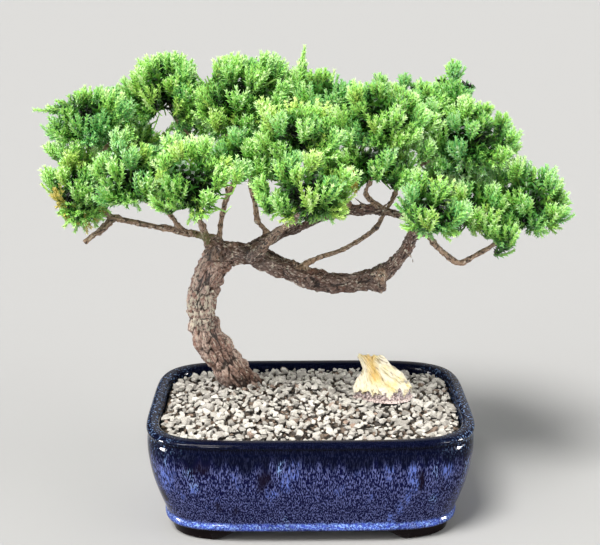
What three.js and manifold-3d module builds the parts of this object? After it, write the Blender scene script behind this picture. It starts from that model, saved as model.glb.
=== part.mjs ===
// A Japanese garden juniper grown as a bonsai: one bent trunk with its branches, a crown of separate
// foliage sprays, and the rectangular glazed pot that holds it, with soil, gravel and an ornamental stone.
// Millimetres, +Z up. The origin is under the middle of the pot, on the surface that its feet stand on,
// +X is to the right of the tree's front and -Y is towards the viewer.
import * as THREE from "three";
import { mergeVertices } from "three/addons/utils/BufferGeometryUtils.js";
import Module from "manifold-3d";

const wasm = await Module();
wasm.setup();

// Driving dimensions of the pot
const POT_HALF_X = 132.5;
const POT_HALF_Y = 102;
const POT_HEIGHT = 92;
const PLAN_POWER = 4.9; // of the superellipse that the pot follows in plan
const PLAN_SIDES = 28;
const SIDE_RATIO = 1.25; // the long sides lean in this much more than the ends
const BODY_BOTTOM = 10.5;
const FLOOR_TOP = 17.5;
// [height, how far the ring of feet lies inside the rim's half width]
const FEET_OUTSIDE = [[0, 18.2], [BODY_BOTTOM + 0.6, 15.9]];
const FEET_INSIDE = [[-1, 32.6], [BODY_BOTTOM, 29.9]];
const LONG_ARCH = { bottomHalf: 79, topHalf: 52 }; // between the feet, at the front and the back
const SIDE_ARCH = { bottomHalf: 50, topHalf: 28 };
const DRAIN_RADIUS = 7;
const DRAIN_X = 52;
const DRAIN_SIDES = 10;
// [height, how far the outside lies inside the rim's own half width]
const OUTSIDE = [
  [BODY_BOTTOM, 16], [13, 12.9], [18, 12.6], [32, 8.4], [50, 3.4], [72, 0.4], [84.5, 0.9],
  [87, 0], [POT_HEIGHT, 2.4],
];
const INSIDE = [[POT_HEIGHT, 7.6], [89, 10], [70, 10.6], [40, 14.5], [24, 20], [FLOOR_TOP, 26]];

// Driving dimensions of what fills it
const GAP = 0.3; // between pieces that touch
const SOIL_TOP = 74;
const GRAVEL_EDGE = 84.5;
const GRAVEL_CROWN = 7; // how much higher the gravel stands in the middle
const STONE_SPACING = 18.5; // larger than life: the real grit is 3 to 8 mm
const CROWN_RISE = [2.4, 4]; // a stone's crown above the bed, least and most
const CREVICE_RISE = [-1.8, -0.6];
const CROWN_SHIFT = 2.1; // how far a crown is moved off its lattice point, at most
const CREVICE_SHIFT = 1.5;
const DEEP = -5000;
const SCREEN_SIDE = 30;
const SCREEN_THICKNESS = 1.2;
const SCREEN_HOLES = 3; // along each side
const SCREEN_HOLE = 5.6;
const SCREEN_PITCH = 8.4;

// Driving dimensions of the ornamental stone and the level place that it rests on
const STONE_AT = { x: 63, y: 8, foot: 90.2, height: 37 };
const STONE_SEAT = { x: 40, y: 30, z: 30 };
const STONE_SIDES = 14;
const FLUTE_DEPTH = 0.07; // of the stone's half width
const STONE_LEVELS = [
  // [share of height, half width, half depth, how far the level leans to -X]
  [0, 15, 11, -1], [0.12, 23.5, 16, -2], [0.3, 23, 15.5, 0], [0.5, 18, 12.5, 4],
  [0.68, 13, 9, 8.5], [0.84, 8.6, 5.6, 12], [0.95, 4.6, 3, 15], [1, 1.6, 1.2, 16.5],
];

// Driving dimensions of the wood
const BARK_RELIEF = 1.7;
const STOUT_BRANCH = 5; // radius from which a branch has six sides and not four
const STEPS_PER_POINT = 0.8; // of a branch's route
const TWIG_ROOM = 0.5; // round the wood, so that flats on it keep their gap too

// Driving dimensions of the foliage
const NEEDLE_LENGTH = 6.5;
const NEEDLE_ANGLE = THREE.MathUtils.degToRad(37); // off the stem
const LONG_SHOOT = 19; // a shoot has one whorl of needles below its tip, and one more for each such length
const STEM_RADIUS = 2.4;
const CORE_SHARE = 0.46; // of the spray's own half sizes
const CORE_DROP = 0.08; // how far the core sits below the spray's middle, in its half height
const MOUND = 0.12; // share of the way to the tip at which a face's mound ends and its shoot begins
const LOWEST_SHOOT = -0.72; // rise of the lowest shoots, from -1 straight down to 1 straight up
const LEAN = 0.12; // how much the shoots turn upwards

const MATERIALS = {
  glaze: new THREE.MeshStandardMaterial({ color: 0x1d2a63, roughness: 0.15, metalness: 0 }),
  soil: new THREE.MeshStandardMaterial({ color: 0x2e241c, roughness: 0.95, metalness: 0 }),
  gravel: new THREE.MeshStandardMaterial({ color: 0xc3bdb2, roughness: 0.9, metalness: 0 }),
  stone: new THREE.MeshStandardMaterial({ color: 0xe8d6a4, roughness: 0.8, metalness: 0 }),
  bark: new THREE.MeshStandardMaterial({ color: 0x85705f, roughness: 0.9, metalness: 0 }),
  leaf: new THREE.MeshStandardMaterial({ color: 0x6fae4a, roughness: 0.6, metalness: 0 }),
  screen: new THREE.MeshStandardMaterial({ color: 0x1c1c1c, roughness: 0.6, metalness: 0 }),
};

// The tree's wood, as points [x, y, z, radius] along each stem. Each branch starts inside its parent,
// and one that carries a spray runs on into the spray's core.
const TRUNK = {
  into: "right_front_low",
  route: [
    [-47, 52, 44, 13], [-50, 50, 62, 18], [-56, 47, 82, 17.4],
    [-64, 44, 96, 15.6], [-75.5, 38, 118, 13.9], [-85, 30, 140, 13], [-90, 24, 160, 12.6],
    [-91, 20, 179, 12.6], [-88, 16, 196, 12.5], [-79.5, 14, 210, 11.8], [-67, 12, 217.5, 10.9],
    [-53.5, 8, 217.5, 10], [-39, 4, 212.5, 8.6], [-21, 0, 206, 7.6], [-1, -4, 199, 7.4],
    [20, -8, 194, 7.4], [41, -10, 196, 7.1], [57, -12, 202.5, 6.6], [69.5, -16, 213, 5.6],
    [78, -24, 227.5, 4.8], [81, -32, 241.5, 3.9], [84.5, -48, 256, 3],
  ],
};
const BRANCHES = [
  {
    into: "right_low_mid", // the upper of the two main branches
    route: [
      [-58, 9, 216, 7], [-47, 8, 225.5, 5.6], [-34, 12, 229, 5], [-20, 18, 231.5, 4.6],
      [3, 20, 239.5, 4.2], [19, 18, 246.5, 4.1], [35, 14, 251.5, 3.8], [51, 8, 254.5, 3.7],
      [65.5, 4, 252, 3.3], [76.5, 0, 249, 2.9], [97, -4, 250, 2.5], [113, -10, 254, 2],
    ],
  },
  {
    into: "centre_front_low",
    route: [
      [-46, 0, 212, 5.4], [-36, -14, 226.5, 3.4], [-26.5, -30, 241, 2.9], [-17, -48, 251, 2.6],
      [-10, -68, 263, 2.3],
    ],
  },
  { into: "centre_front", route: [[-11.5, -64, 259.5, 2], [-9.5, -67, 285, 1.8]] },
  {
    into: "centre_mid",
    route: [
      [-76, 10, 213, 3.6], [-73.5, 5, 230.5, 2.5], [-71.5, 0, 243.5, 2.1], [-67, -8, 262, 2],
      [-60, -15, 278, 1.9], [-52, -30, 292, 1.7],
    ],
  },
  { into: "centre_left_top", route: [[-61, -13, 275, 1.9], [-57, -8, 307, 1.7]] },
  { into: "left_dome", route: [[-64, -11, 270, 1.8], [-83.5, 3, 300, 1.7], [-105, 12, 324, 1.6]] },
  {
    into: "back_centre",
    route: [
      [-33, 14, 226, 2.8], [-37, 14, 234, 2.3], [-42, 12, 241, 2.1], [-44, 10, 254.5, 1.9],
      [-47.5, 16, 270, 1.9], [-39, 48, 290, 1.8],
    ],
  },
  { into: "back_centre_left", route: [[-46, 19, 271, 1.8], [-61.5, 50, 297, 1.8]] },
  {
    into: "far_left_upper", // the long low branch to the left
    route: [
      [-67, 10, 216, 5.4], [-80, 2, 230.5, 3.6], [-98, -6, 236.5, 2.9], [-113, -10, 241.5, 2.7],
      [-128, -12, 244.5, 2.6], [-140.5, -12, 247, 2.5], [-157.5, -14, 251, 2.4],
      [-164.5, -14, 255, 2.3], [-169, -12, 265, 2.1], [-172.5, -9, 288, 1.8], [-174, -8, 310, 1.6],
    ],
  },
  { route: [[-156.5, -13.5, 251.5, 2.2], [-168, -18, 243, 2.3], [-177.5, -22, 234.5, 1.8]] },
  { route: [[-163, -14, 253, 2.1], [-158.5, -24, 267.5, 1.8], [-149, -42, 280, 1.3]] },
  { into: "far_left_lower", route: [[-168.5, -12, 263, 1.9], [-176, -18, 268, 1.7]] },
  { into: "back_left", route: [[-172, -10, 284, 1.9], [-168.5, 30, 298, 1.7]] },
  {
    into: "left_front",
    route: [
      [-100, -6, 236, 2.7], [-105.5, -10, 242.5, 2.1], [-111, -18, 254, 1.9],
      [-117.5, -26, 262, 1.8], [-125.5, -38, 268, 1.7],
    ],
  },
  {
    into: "centre_left_low",
    route: [[-82, 5, 222, 3.6], [-85.5, -12, 241, 2.5], [-87, -32, 253.5, 2.3], [-87.5, -56, 270, 2]],
  },
  {
    into: "right_shoulder", // leaves the lower main branch and crosses behind the upper one
    route: [
      [-13, -2, 204, 3.2], [7, 0, 214.5, 2.1], [26, 6, 219, 2], [42, 12, 226.5, 2],
      [55.5, 18, 235.5, 1.9], [63.5, 22, 248, 1.9], [69.5, 22, 258, 1.9], [74.5, 18, 271.5, 1.8],
      [93.5, 6, 290.5, 1.8],
    ],
  },
  { into: "right_spire", route: [[94, 5.5, 290.5, 1.7], [109, 10, 322, 1.5]] },
  { into: "right_knoll", route: [[91, 7.5, 288.5, 1.7], [91, 2, 305, 1.5], [89, -4, 325, 1.4]] },
  { into: "right_mid", route: [[72.5, 19.5, 266, 1.9], [68, 20, 285, 1.7], [67.5, 21, 308, 1.6]] },
  { into: "back_right", route: [[74, 18.5, 269, 1.9], [75, 50, 287, 1.8]] },
  { into: "back_far_right", route: [[75.5, 18, 272, 1.8], [106, 46, 268.5, 1.8]] },
  { into: "centre_top", route: [[35, 14, 251, 3], [27, 10, 264, 2.3], [18.5, 8, 296, 1.9]] },
  {
    into: "right_centre",
    route: [[57, 6, 254, 2.9], [45.5, -8, 266.5, 2.1], [47.5, -32, 284, 1.8], [49.5, -49, 299, 1.6]],
  },
  {
    into: "far_right",
    route: [
      [80.5, -29, 237, 4], [90, -28, 239.5, 2.8], [101, -24, 228, 2.5], [114.5, -20, 215.5, 2.3],
      [120.5, -20, 213, 2.1], [131.5, -19, 218.5, 1.9], [147.5, -18, 228, 1.8],
      [158, -17, 243, 1.7],
    ],
  },
  { into: "far_right_tip", route: [[147.5, -18.5, 228, 1.8], [151.5, -24, 231, 1.6]] },
];
const TWIG_END_RADIUS = 1.4;
const TWIG_END_DROP = 0.22; // how far under a spray's middle its twig ends, in the spray's half height

// Each foliage spray: its centre and half sizes out to the tips of its shoots, and on some sprays the
// tip of one leading shoot that stands out further than the rest.
const SPRAYS = {
  far_left_upper: { at: [-174, -8, 333], half: [37, 38, 27], leader: [-219, -8, 336] },
  far_left_lower: { at: [-187, -25, 274], half: [27, 30, 40] },
  left_dome: { at: [-115, 15, 349], half: [36, 38, 32] },
  left_front: { at: [-136, -55, 292], half: [31, 33, 31] },
  centre_left_low: { at: [-88, -75, 289], half: [33, 34, 35] },
  centre_left_top: { at: [-55, -5, 347], half: [37, 38, 35] },
  centre_mid: { at: [-46, -42, 306], half: [31, 30, 27] },
  centre_front_low: { at: [-4.5, -92, 287], half: [38, 31, 31] },
  centre_front: { at: [-10, -66, 326], half: [31, 31, 26] },
  centre_top: { at: [9, 5, 344], half: [36, 38, 29], leader: [-3, 5, 385] },
  right_centre: { at: [52, -45, 338], half: [36, 37, 32] },
  right_centre_low: { at: [49, -55, 301], half: [35, 32, 24] },
  right_mid: { at: [69, 22, 333], half: [30, 30, 26] },
  right_knoll: { at: [88, -6, 345], half: [17, 20, 21] },
  right_spire: { at: [116.5, 10, 353], half: [16, 18, 25] },
  right_shoulder: { at: [127, -10, 316], half: [41, 40, 32] },
  right_front_low: { at: [89, -75, 271], half: [28, 30, 30] },
  right_low_mid: { at: [127, -18, 258], half: [32, 33, 27] },
  far_right: { at: [177, -13, 266], half: [39, 37, 32] },
  far_right_tip: { at: [156, -30, 237], half: [17, 18, 22] },
  back_left: { at: [-156, 70, 313], half: [38, 41, 30] },
  back_centre_left: { at: [-86, 81, 328], half: [38, 41, 31] },
  back_centre: { at: [-11, 84, 324], half: [40, 38, 31] },
  back_right: { at: [66, 81, 316], half: [40, 41, 31] },
  back_far_right: { at: [134, 66, 280], half: [39, 41, 32] },
};

// A seeded source of numbers from 0 to 1.
function randomFrom(seed) {
  let state = seed;
  return () => {
    state = (state * 1664525 + 1013904223) % 4294967296;
    return state / 4294967296;
  };
}

// A closed surface through rings of equally many points, its ends closed by fans of triangles.
function loft(rings) {
  const sides = rings[0].length;
  const points = rings.flat();
  const index = [];
  for (let ring = 0; ring + 1 < rings.length; ring++)
    for (let side = 0; side < sides; side++) {
      const a = ring * sides + side;
      const b = ring * sides + ((side + 1) % sides);
      index.push(a, b, b + sides, a, b + sides, a + sides);
    }
  const last = (rings.length - 1) * sides;
  for (let side = 1; side + 1 < sides; side++)
    index.push(0, side + 1, side, last, last + side, last + side + 1);
  return new THREE.BufferGeometry().setFromPoints(points).setIndex(index);
}

// A geometry as a solid for joining and cutting, turned to face outwards.
function solidOf(geometry) {
  const bare = new THREE.BufferGeometry();
  bare.setAttribute("position", geometry.getAttribute("position"));
  bare.setIndex(geometry.index);
  const merged = mergeVertices(bare, 1e-4);
  const triVerts = new Uint32Array(merged.index.array);
  const build = () =>
    new wasm.Manifold(
      new wasm.Mesh({
        numProp: 3,
        vertProperties: new Float32Array(merged.attributes.position.array),
        triVerts,
      }),
    );
  const solid = build();
  if (solid.volume() > 0) return solid;
  for (let i = 0; i < triVerts.length; i += 3)
    [triVerts[i + 1], triVerts[i + 2]] = [triVerts[i + 2], triVerts[i + 1]];
  return build();
}

// The largest body of a solid: cutting can leave loose scraps.
function largestBody(solid) {
  return solid.decompose().reduce((a, b) => (b.volume() > a.volume() ? b : a));
}

// A named mesh of a solid.
function piece(name, solid, material) {
  const made = solid.getMesh();
  const geometry = new THREE.BufferGeometry();
  geometry.setAttribute("position", new THREE.BufferAttribute(made.vertProperties, 3));
  geometry.setIndex(new THREE.BufferAttribute(made.triVerts, 1));
  geometry.computeVertexNormals();
  const mesh = new THREE.Mesh(geometry, material);
  mesh.name = name;
  return mesh;
}

// A ring of points on the pot's plan, drawn in by inset from the rim's half sizes.
function planRing(inset, z) {
  const halfX = POT_HALF_X - inset;
  const halfY = POT_HALF_Y - inset * SIDE_RATIO;
  return Array.from({ length: PLAN_SIDES }, (_, i) => {
    const t = (i * 2 * Math.PI) / PLAN_SIDES;
    const c = Math.cos(t);
    const s = Math.sin(t);
    return new THREE.Vector3(
      halfX * Math.sign(c) * Math.abs(c) ** (2 / PLAN_POWER),
      halfY * Math.sign(s) * Math.abs(s) ** (2 / PLAN_POWER),
      z,
    );
  });
}

// How far the inner wall lies inside the rim's half width at a height.
function insideInset(z) {
  for (let i = 1; i < INSIDE.length; i++) {
    const [upper, insetAbove] = INSIDE[i - 1];
    const [lower, insetBelow] = INSIDE[i];
    if (z >= lower)
      return THREE.MathUtils.lerp(insetBelow, insetAbove, (z - lower) / (upper - lower));
  }
  return INSIDE.at(-1)[1];
}

// A solid column between two heights that fits inside the pot with a gap.
function insideColumn(heights) {
  return solidOf(loft(heights.map((z) => planRing(insideInset(z) + GAP, z))));
}

function boxAt(sizeX, sizeY, sizeZ, x, y, z) {
  return solidOf(new THREE.BoxGeometry(sizeX, sizeY, sizeZ).translate(x, y, z));
}

// A bar along Y whose section is an arch as high as the feet: wide at the bottom and narrower above.
function archBar({ bottomHalf, topHalf }) {
  const outline = new THREE.Shape([
    new THREE.Vector2(-bottomHalf, -1),
    new THREE.Vector2(bottomHalf, -1),
    new THREE.Vector2(topHalf, BODY_BOTTOM),
    new THREE.Vector2(-topHalf, BODY_BOTTOM),
  ]);
  const length = 3 * POT_HALF_X;
  const bar = new THREE.ExtrudeGeometry(outline, { depth: length, bevelEnabled: false });
  return bar.translate(0, 0, -length / 2).rotateX(Math.PI / 2);
}

// The glazed pot: a bellied wall with a rolled rim, a floor with two drain holes, and four corner feet.
function makePot() {
  const turned = (profile) => solidOf(loft(profile.map(([z, inset]) => planRing(inset, z))));
  const feet = turned(FEET_OUTSIDE)
    .subtract(turned(FEET_INSIDE))
    .subtract(solidOf(archBar(LONG_ARCH)))
    .subtract(solidOf(archBar(SIDE_ARCH).rotateZ(Math.PI / 2)));
  let pot = turned([...OUTSIDE, ...INSIDE]).add(feet);
  const middle = (BODY_BOTTOM + FLOOR_TOP) / 2;
  for (const x of [-DRAIN_X, DRAIN_X]) {
    const drill = new THREE.CylinderGeometry(DRAIN_RADIUS, DRAIN_RADIUS, FLOOR_TOP, DRAIN_SIDES);
    pot = pot.subtract(solidOf(drill.rotateX(Math.PI / 2).translate(x, 0, middle)));
  }
  return pot;
}

// A plastic mesh square that keeps the soil in over a drain hole.
function makeScreen(x) {
  const z = FLOOR_TOP + GAP + SCREEN_THICKNESS / 2;
  let screen = boxAt(SCREEN_SIDE, SCREEN_SIDE, SCREEN_THICKNESS, x, 0, z);
  for (let i = 0; i < SCREEN_HOLES; i++)
    for (let j = 0; j < SCREEN_HOLES; j++) {
      const holeX = x + (i - (SCREEN_HOLES - 1) / 2) * SCREEN_PITCH;
      const holeY = (j - (SCREEN_HOLES - 1) / 2) * SCREEN_PITCH;
      const hole = boxAt(SCREEN_HOLE, SCREEN_HOLE, 2 * SCREEN_THICKNESS, holeX, holeY, z);
      screen = screen.subtract(hole);
    }
  return screen;
}

function makeSoil(clearance) {
  let soil = insideColumn([FLOOR_TOP + GAP, 40, SOIL_TOP]);
  const pocket = SCREEN_SIDE + 2 * GAP;
  for (const x of [-DRAIN_X, DRAIN_X])
    soil = soil.subtract(boxAt(pocket, pocket, 2 * (SCREEN_THICKNESS + 2 * GAP), x, 0, FLOOR_TOP));
  return soil.subtract(clearance);
}

// Height of the gravel before its stones are raised.
function gravelHeight(x, y) {
  const u = Math.min(1, Math.abs(x) / (POT_HALF_X - 10));
  const v = Math.min(1, Math.abs(y) / (POT_HALF_Y - 12));
  return GRAVEL_EDGE + GRAVEL_CROWN * (1 - u * u) * (1 - v * v);
}

// Top dressing: a bed whose top is a lattice of faceted stones. Every third lattice point is a stone's
// crown, and the six round it are the crevices that part it from its neighbours. The lattice is closed
// far below, and the column inside the pot cuts its flat underside.
function makeGravel(clearance) {
  const random = randomFrom(11);
  const step = STONE_SPACING / Math.sqrt(3);
  const rowStep = (step * Math.sqrt(3)) / 2;
  const rows = 2 * Math.ceil(POT_HALF_Y / rowStep);
  const columns = 2 * Math.ceil(POT_HALF_X / step) + 1;
  const slabBottom = SOIL_TOP + GAP;
  const top = [];
  for (let row = 0; row <= rows; row++)
    for (let column = 0; column <= columns; column++) {
      const isCrown = (column + 2 * (row % 2) + (row >> 1)) % 3 === 0;
      const shift = 2 * (isCrown ? CROWN_SHIFT : CREVICE_SHIFT);
      const x = (column - columns / 2 + (row % 2) / 2) * step + (random() - 0.5) * shift;
      const y = (row - rows / 2) * rowStep + (random() - 0.5) * shift;
      const rise = THREE.MathUtils.lerp(...(isCrown ? CROWN_RISE : CREVICE_RISE), random());
      top.push(new THREE.Vector3(x, y, gravelHeight(x, y) + rise));
    }
  const width = columns + 1;
  const index = [];
  for (let row = 0; row < rows; row++)
    for (let column = 0; column < columns; column++) {
      const a = row * width + column;
      const c = a + width;
      if (row % 2) index.push(a, a + 1, c + 1, a, c + 1, c);
      else index.push(a, a + 1, c, a + 1, c + 1, c);
    }
  const edge = [];
  for (let column = 0; column < columns; column++) edge.push(column);
  for (let row = 0; row < rows; row++) edge.push((row + 1) * width - 1);
  for (let column = columns; column > 0; column--) edge.push(rows * width + column);
  for (let row = rows; row > 0; row--) edge.push(row * width);
  edge.forEach((point, i) => index.push(edge[(i + 1) % edge.length], point, top.length));
  top.push(new THREE.Vector3(0, 0, DEEP));
  const bed = solidOf(new THREE.BufferGeometry().setFromPoints(top).setIndex(index));
  const inset = insideInset(slabBottom) + GAP;
  const column = solidOf(loft([slabBottom, 2 * POT_HEIGHT].map((z) => planRing(inset, z))));
  return largestBody(bed.intersect(column).subtract(clearance));
}

// The ornamental stone: a jagged fin with fluted sides, on a flat foot.
function makeStone() {
  const random = randomFrom(5);
  const rings = STONE_LEVELS.map(([share, halfX, halfY, lean]) =>
    Array.from({ length: STONE_SIDES }, (_, i) => {
      const t = (i * 2 * Math.PI) / STONE_SIDES;
      const flute = 1 + (i % 2 ? FLUTE_DEPTH : -FLUTE_DEPTH) + 0.08 * (random() - 0.5);
      const rise = share > 0.2 && share < 1 ? 1.6 * (random() - 0.5) : 0;
      return new THREE.Vector3(
        STONE_AT.x - lean + halfX * flute * Math.cos(t),
        STONE_AT.y + halfY * flute * Math.sin(t),
        STONE_AT.foot + share * STONE_AT.height + rise,
      );
    }),
  );
  return solidOf(loft(rings));
}

// The level place in the gravel that the ornamental stone rests on.
function stoneSeat() {
  const middle = STONE_AT.foot - GAP + STONE_SEAT.z / 2;
  return boxAt(STONE_SEAT.x, STONE_SEAT.y, STONE_SEAT.z, STONE_AT.x, STONE_AT.y, middle);
}

// A tapering stem along points [x, y, z, radius]. swell makes it stouter and longer all round, and
// plates raises long plates of bark on it.
function stem(points, sides, steps, swell = 0, plates = 0) {
  const curve = new THREE.CatmullRomCurve3(
    points.map(([x, y, z]) => new THREE.Vector3(x, y, z)),
    false,
    "centripetal",
  );
  const random = randomFrom(3);
  const across = new THREE.Vector3(0.31, 1, 0.17);
  const rings = [];
  for (let i = 0; i <= steps; i++) {
    const along = (i / steps) * (points.length - 1);
    const before = Math.min(points.length - 2, Math.floor(along));
    const radius = THREE.MathUtils.lerp(points[before][3], points[before + 1][3], along - before);
    const tangent = curve.getTangent(i / steps);
    const centre = curve.getPoint(i / steps);
    if (i === 0) centre.addScaledVector(tangent, -swell);
    if (i === steps) centre.addScaledVector(tangent, swell);
    across.addScaledVector(tangent, -across.dot(tangent)).normalize();
    const up = new THREE.Vector3().crossVectors(tangent, across);
    rings.push(
      Array.from({ length: sides }, (_, side) => {
        const turn = ((side + 0.5 * (i % 2)) * 2 * Math.PI) / sides;
        const r = radius + swell + plates * (random() - 0.5);
        return centre
          .clone()
          .addScaledVector(across, r * Math.cos(turn))
          .addScaledVector(up, r * Math.sin(turn));
      }),
    );
  }
  return solidOf(loft(rings));
}

// The whole route of a stem: up to the place inside the spray that it carries, if any.
function wholeRoute({ into, route }) {
  if (!into) return route;
  const { at, half } = SPRAYS[into];
  return [...route, [at[0], at[1], at[2] - TWIG_END_DROP * half[2], TWIG_END_RADIUS]];
}

// Trunk and branches as one piece of wood. swell gives the room that other pieces leave round it.
function makeWood(swell) {
  const trunkSwell = swell ? swell + BARK_RELIEF / 2 : 0;
  const stems = [stem(wholeRoute(TRUNK), 8, 27, trunkSwell, swell ? 0 : BARK_RELIEF)];
  for (const branch of BRANCHES) {
    const points = wholeRoute(branch);
    const sides = points[0][3] > STOUT_BRANCH ? 6 : 4;
    stems.push(stem(points, sides, Math.ceil(points.length * STEPS_PER_POINT), swell));
  }
  return wasm.Manifold.union(stems);
}

// One leafy shoot from root to tip: a slim three-sided stem whose faces are raised into needles, in
// alternate whorls of three. Its root end is open, with its first corner turned to facing.
function shoot(root, tip, facing, margin = 0) {
  const axis = new THREE.Vector3().subVectors(tip, root);
  const length = axis.length() + margin;
  axis.normalize();
  const across = facing.clone().addScaledVector(axis, -facing.dot(axis)).normalize();
  const up = new THREE.Vector3().crossVectors(axis, across);
  const whorls = 1 + Math.floor(length / LONG_SHOOT);
  const spacing = (length - NEEDLE_LENGTH) / whorls;
  const third = (2 * Math.PI) / 3;
  const at = (distance, radius, turn) =>
    root
      .clone()
      .addScaledVector(axis, distance)
      .addScaledVector(across, radius * Math.cos(turn * third))
      .addScaledVector(up, radius * Math.sin(turn * third));
  const points = [];
  for (let ring = 0; ring <= whorls; ring++)
    for (let corner = 0; corner < 3; corner++) {
      const radius = (STEM_RADIUS + margin) * (1 - (0.35 * ring) / whorls);
      points.push(at(ring * spacing, radius, corner + ring / 2));
    }
  const index = [];
  const reach = NEEDLE_LENGTH + margin;
  for (let ring = 0; ring < whorls; ring++)
    for (let corner = 0; corner < 3; corner++) {
      const a = 3 * ring + corner;
      const b = 3 * ring + ((corner + 1) % 3);
      const out = STEM_RADIUS / 2 + reach * Math.sin(NEEDLE_ANGLE);
      const forward = ring * spacing + reach * Math.cos(NEEDLE_ANGLE);
      points.push(at(forward, out, corner + (ring + 1) / 2));
      const needle = points.length - 1;
      index.push(a, b, needle, b, a + 3, needle, a + 3, a, needle, a + 3, b, b + 3);
    }
  points.push(tip.clone().addScaledVector(axis, margin));
  const last = 3 * whorls;
  for (let corner = 0; corner < 3; corner++)
    index.push(last + corner, last + ((corner + 1) % 3), points.length - 1);
  return { points, index };
}

// The room that a shoot takes up, with a margin all round.
function shootRoom(root, tip, facing) {
  const { points, index } = shoot(root, tip, facing, GAP);
  const closed = [0, 2, 1, ...index];
  return solidOf(new THREE.BufferGeometry().setFromPoints(points).setIndex(closed));
}

// A spray's core of dense inner twigs: the corners and faces of a lumpy icosahedron.
function sprayCore(spray, seed) {
  const random = randomFrom(seed);
  const bare = new THREE.BufferGeometry();
  bare.setAttribute("position", new THREE.IcosahedronGeometry(1, 0).getAttribute("position"));
  const merged = mergeVertices(bare.rotateX(random() * 3).rotateZ(random() * 6), 1e-4);
  const position = merged.getAttribute("position");
  const corners = Array.from({ length: position.count }, (_, i) => {
    const r = CORE_SHARE * (0.84 + 0.32 * random());
    return new THREE.Vector3()
      .fromBufferAttribute(position, i)
      .multiplyScalar(r)
      .add(new THREE.Vector3(0, 0, -CORE_DROP))
      .multiply(spray.half)
      .add(spray.at);
  });
  const faces = [];
  for (let i = 0; i < merged.index.count; i += 3)
    faces.push([0, 1, 2].map((corner) => merged.index.getX(i + corner)));
  return { corners, faces, random };
}

// Where the shoot on each face of a core runs: from a low mound on the face out to the spray's edge,
// a little upwards. Faces on the under side carry none.
function shootLines(spray, core) {
  const lines = core.faces.map((face) => {
    const [a, b, c] = face.map((i) => core.corners[i]);
    const root = new THREE.Vector3().add(a).add(b).add(c).divideScalar(3);
    const outward = root.clone().sub(spray.at).divide(spray.half).normalize();
    const reach = 0.93 + 0.14 * core.random();
    const facing = a.clone().add(b).addScaledVector(root, -2);
    if (outward.z < LOWEST_SHOOT) return null;
    outward.z += LEAN;
    const tip = outward.normalize().multiply(spray.half).multiplyScalar(reach).add(spray.at);
    return { root: root.lerp(tip, MOUND), tip, facing };
  });
  if (spray.leader) {
    const toLeader = (line) => (line ? line.tip.distanceTo(spray.leader) : Infinity);
    lines.reduce((a, b) => (toLeader(b) < toLeader(a) ? b : a)).tip.copy(spray.leader);
  }
  return lines;
}

// All sprays, each one closed surface: the core's faces rise into mounds, and each mound into a shoot.
// A shoot that would cross another is drawn back from it, or left out. Sprays have a plain hole round
// the twigs that carry them.
function makeSprays(clearance) {
  const sprays = Object.entries(SPRAYS).map(([name, { at, half, leader }], i) => {
    const spray = {
      at: new THREE.Vector3(...at),
      half: new THREE.Vector3(...half),
      leader: leader && new THREE.Vector3(...leader),
    };
    const core = sprayCore(spray, i + 1);
    const bare = new THREE.BufferGeometry().setFromPoints(core.corners).setIndex(core.faces.flat());
    return { name, core, lines: shootLines(spray, core), solids: [solidOf(bare)] };
  });
  for (const own of sprays)
    own.shoots = own.lines.map((line) => {
      if (!line) return null;
      for (const share of [1, 0.86, 0.72]) {
        const tip = line.root.clone().lerp(line.tip, share);
        const room = shootRoom(line.root, tip, line.facing);
        const isClear = sprays.every((spray) =>
          spray.solids.every((s, i) => (spray === own && i === 0) || room.intersect(s).isEmpty()),
        );
        if (!isClear) continue;
        own.solids.push(room);
        return shoot(line.root, tip, line.facing);
      }
      return null;
    });
  return sprays.map(({ name, core, shoots }) => {
    const points = [...core.corners];
    const index = [];
    core.faces.forEach((face, i) => {
      const start = points.length;
      if (!shoots[i]) return index.push(...face);
      for (let k = 0; k < 3; k++) {
        const next = (k + 1) % 3;
        index.push(face[k], face[next], start + k, face[next], start + next, start + k);
      }
      points.push(...shoots[i].points);
      return index.push(...shoots[i].index.map((j) => j + start));
    });
    const whole = solidOf(new THREE.BufferGeometry().setFromPoints(points).setIndex(index));
    return piece("spray_" + name, largestBody(whole.subtract(clearance)), MATERIALS.leaf);
  });
}

const wood = makeWood(0);
const woodRoom = makeWood(TWIG_ROOM);

const bonsai = new THREE.Group();
bonsai.name = "juniper_bonsai";
bonsai.add(
  piece("pot", makePot(), MATERIALS.glaze),
  piece("drain_screen_left", makeScreen(-DRAIN_X), MATERIALS.screen),
  piece("drain_screen_right", makeScreen(DRAIN_X), MATERIALS.screen),
  piece("soil", makeSoil(woodRoom), MATERIALS.soil),
  piece("gravel", makeGravel(woodRoom.add(stoneSeat())), MATERIALS.gravel),
  piece("ornamental_stone", makeStone(), MATERIALS.stone),
  piece("trunk_and_branches", wood, MATERIALS.bark),
  ...makeSprays(woodRoom),
);

export default bonsai;
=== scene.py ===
"""A Japanese garden juniper grown as a bonsai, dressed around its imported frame.

One bent trunk with its branches, a crown of separate foliage sprays, and the rectangular glazed pot that
holds it, with soil, gravel and an ornamental stone. Sizes are in millimetres where a name ends in _MM or a
docstring says so, and every mesh is built in metres.
"""

import logging
import math
from dataclasses import dataclass, field
from enum import Enum
from functools import cached_property

import bmesh
import bpy
import numpy as np
from mathutils import Matrix, Vector, kdtree, noise


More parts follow.
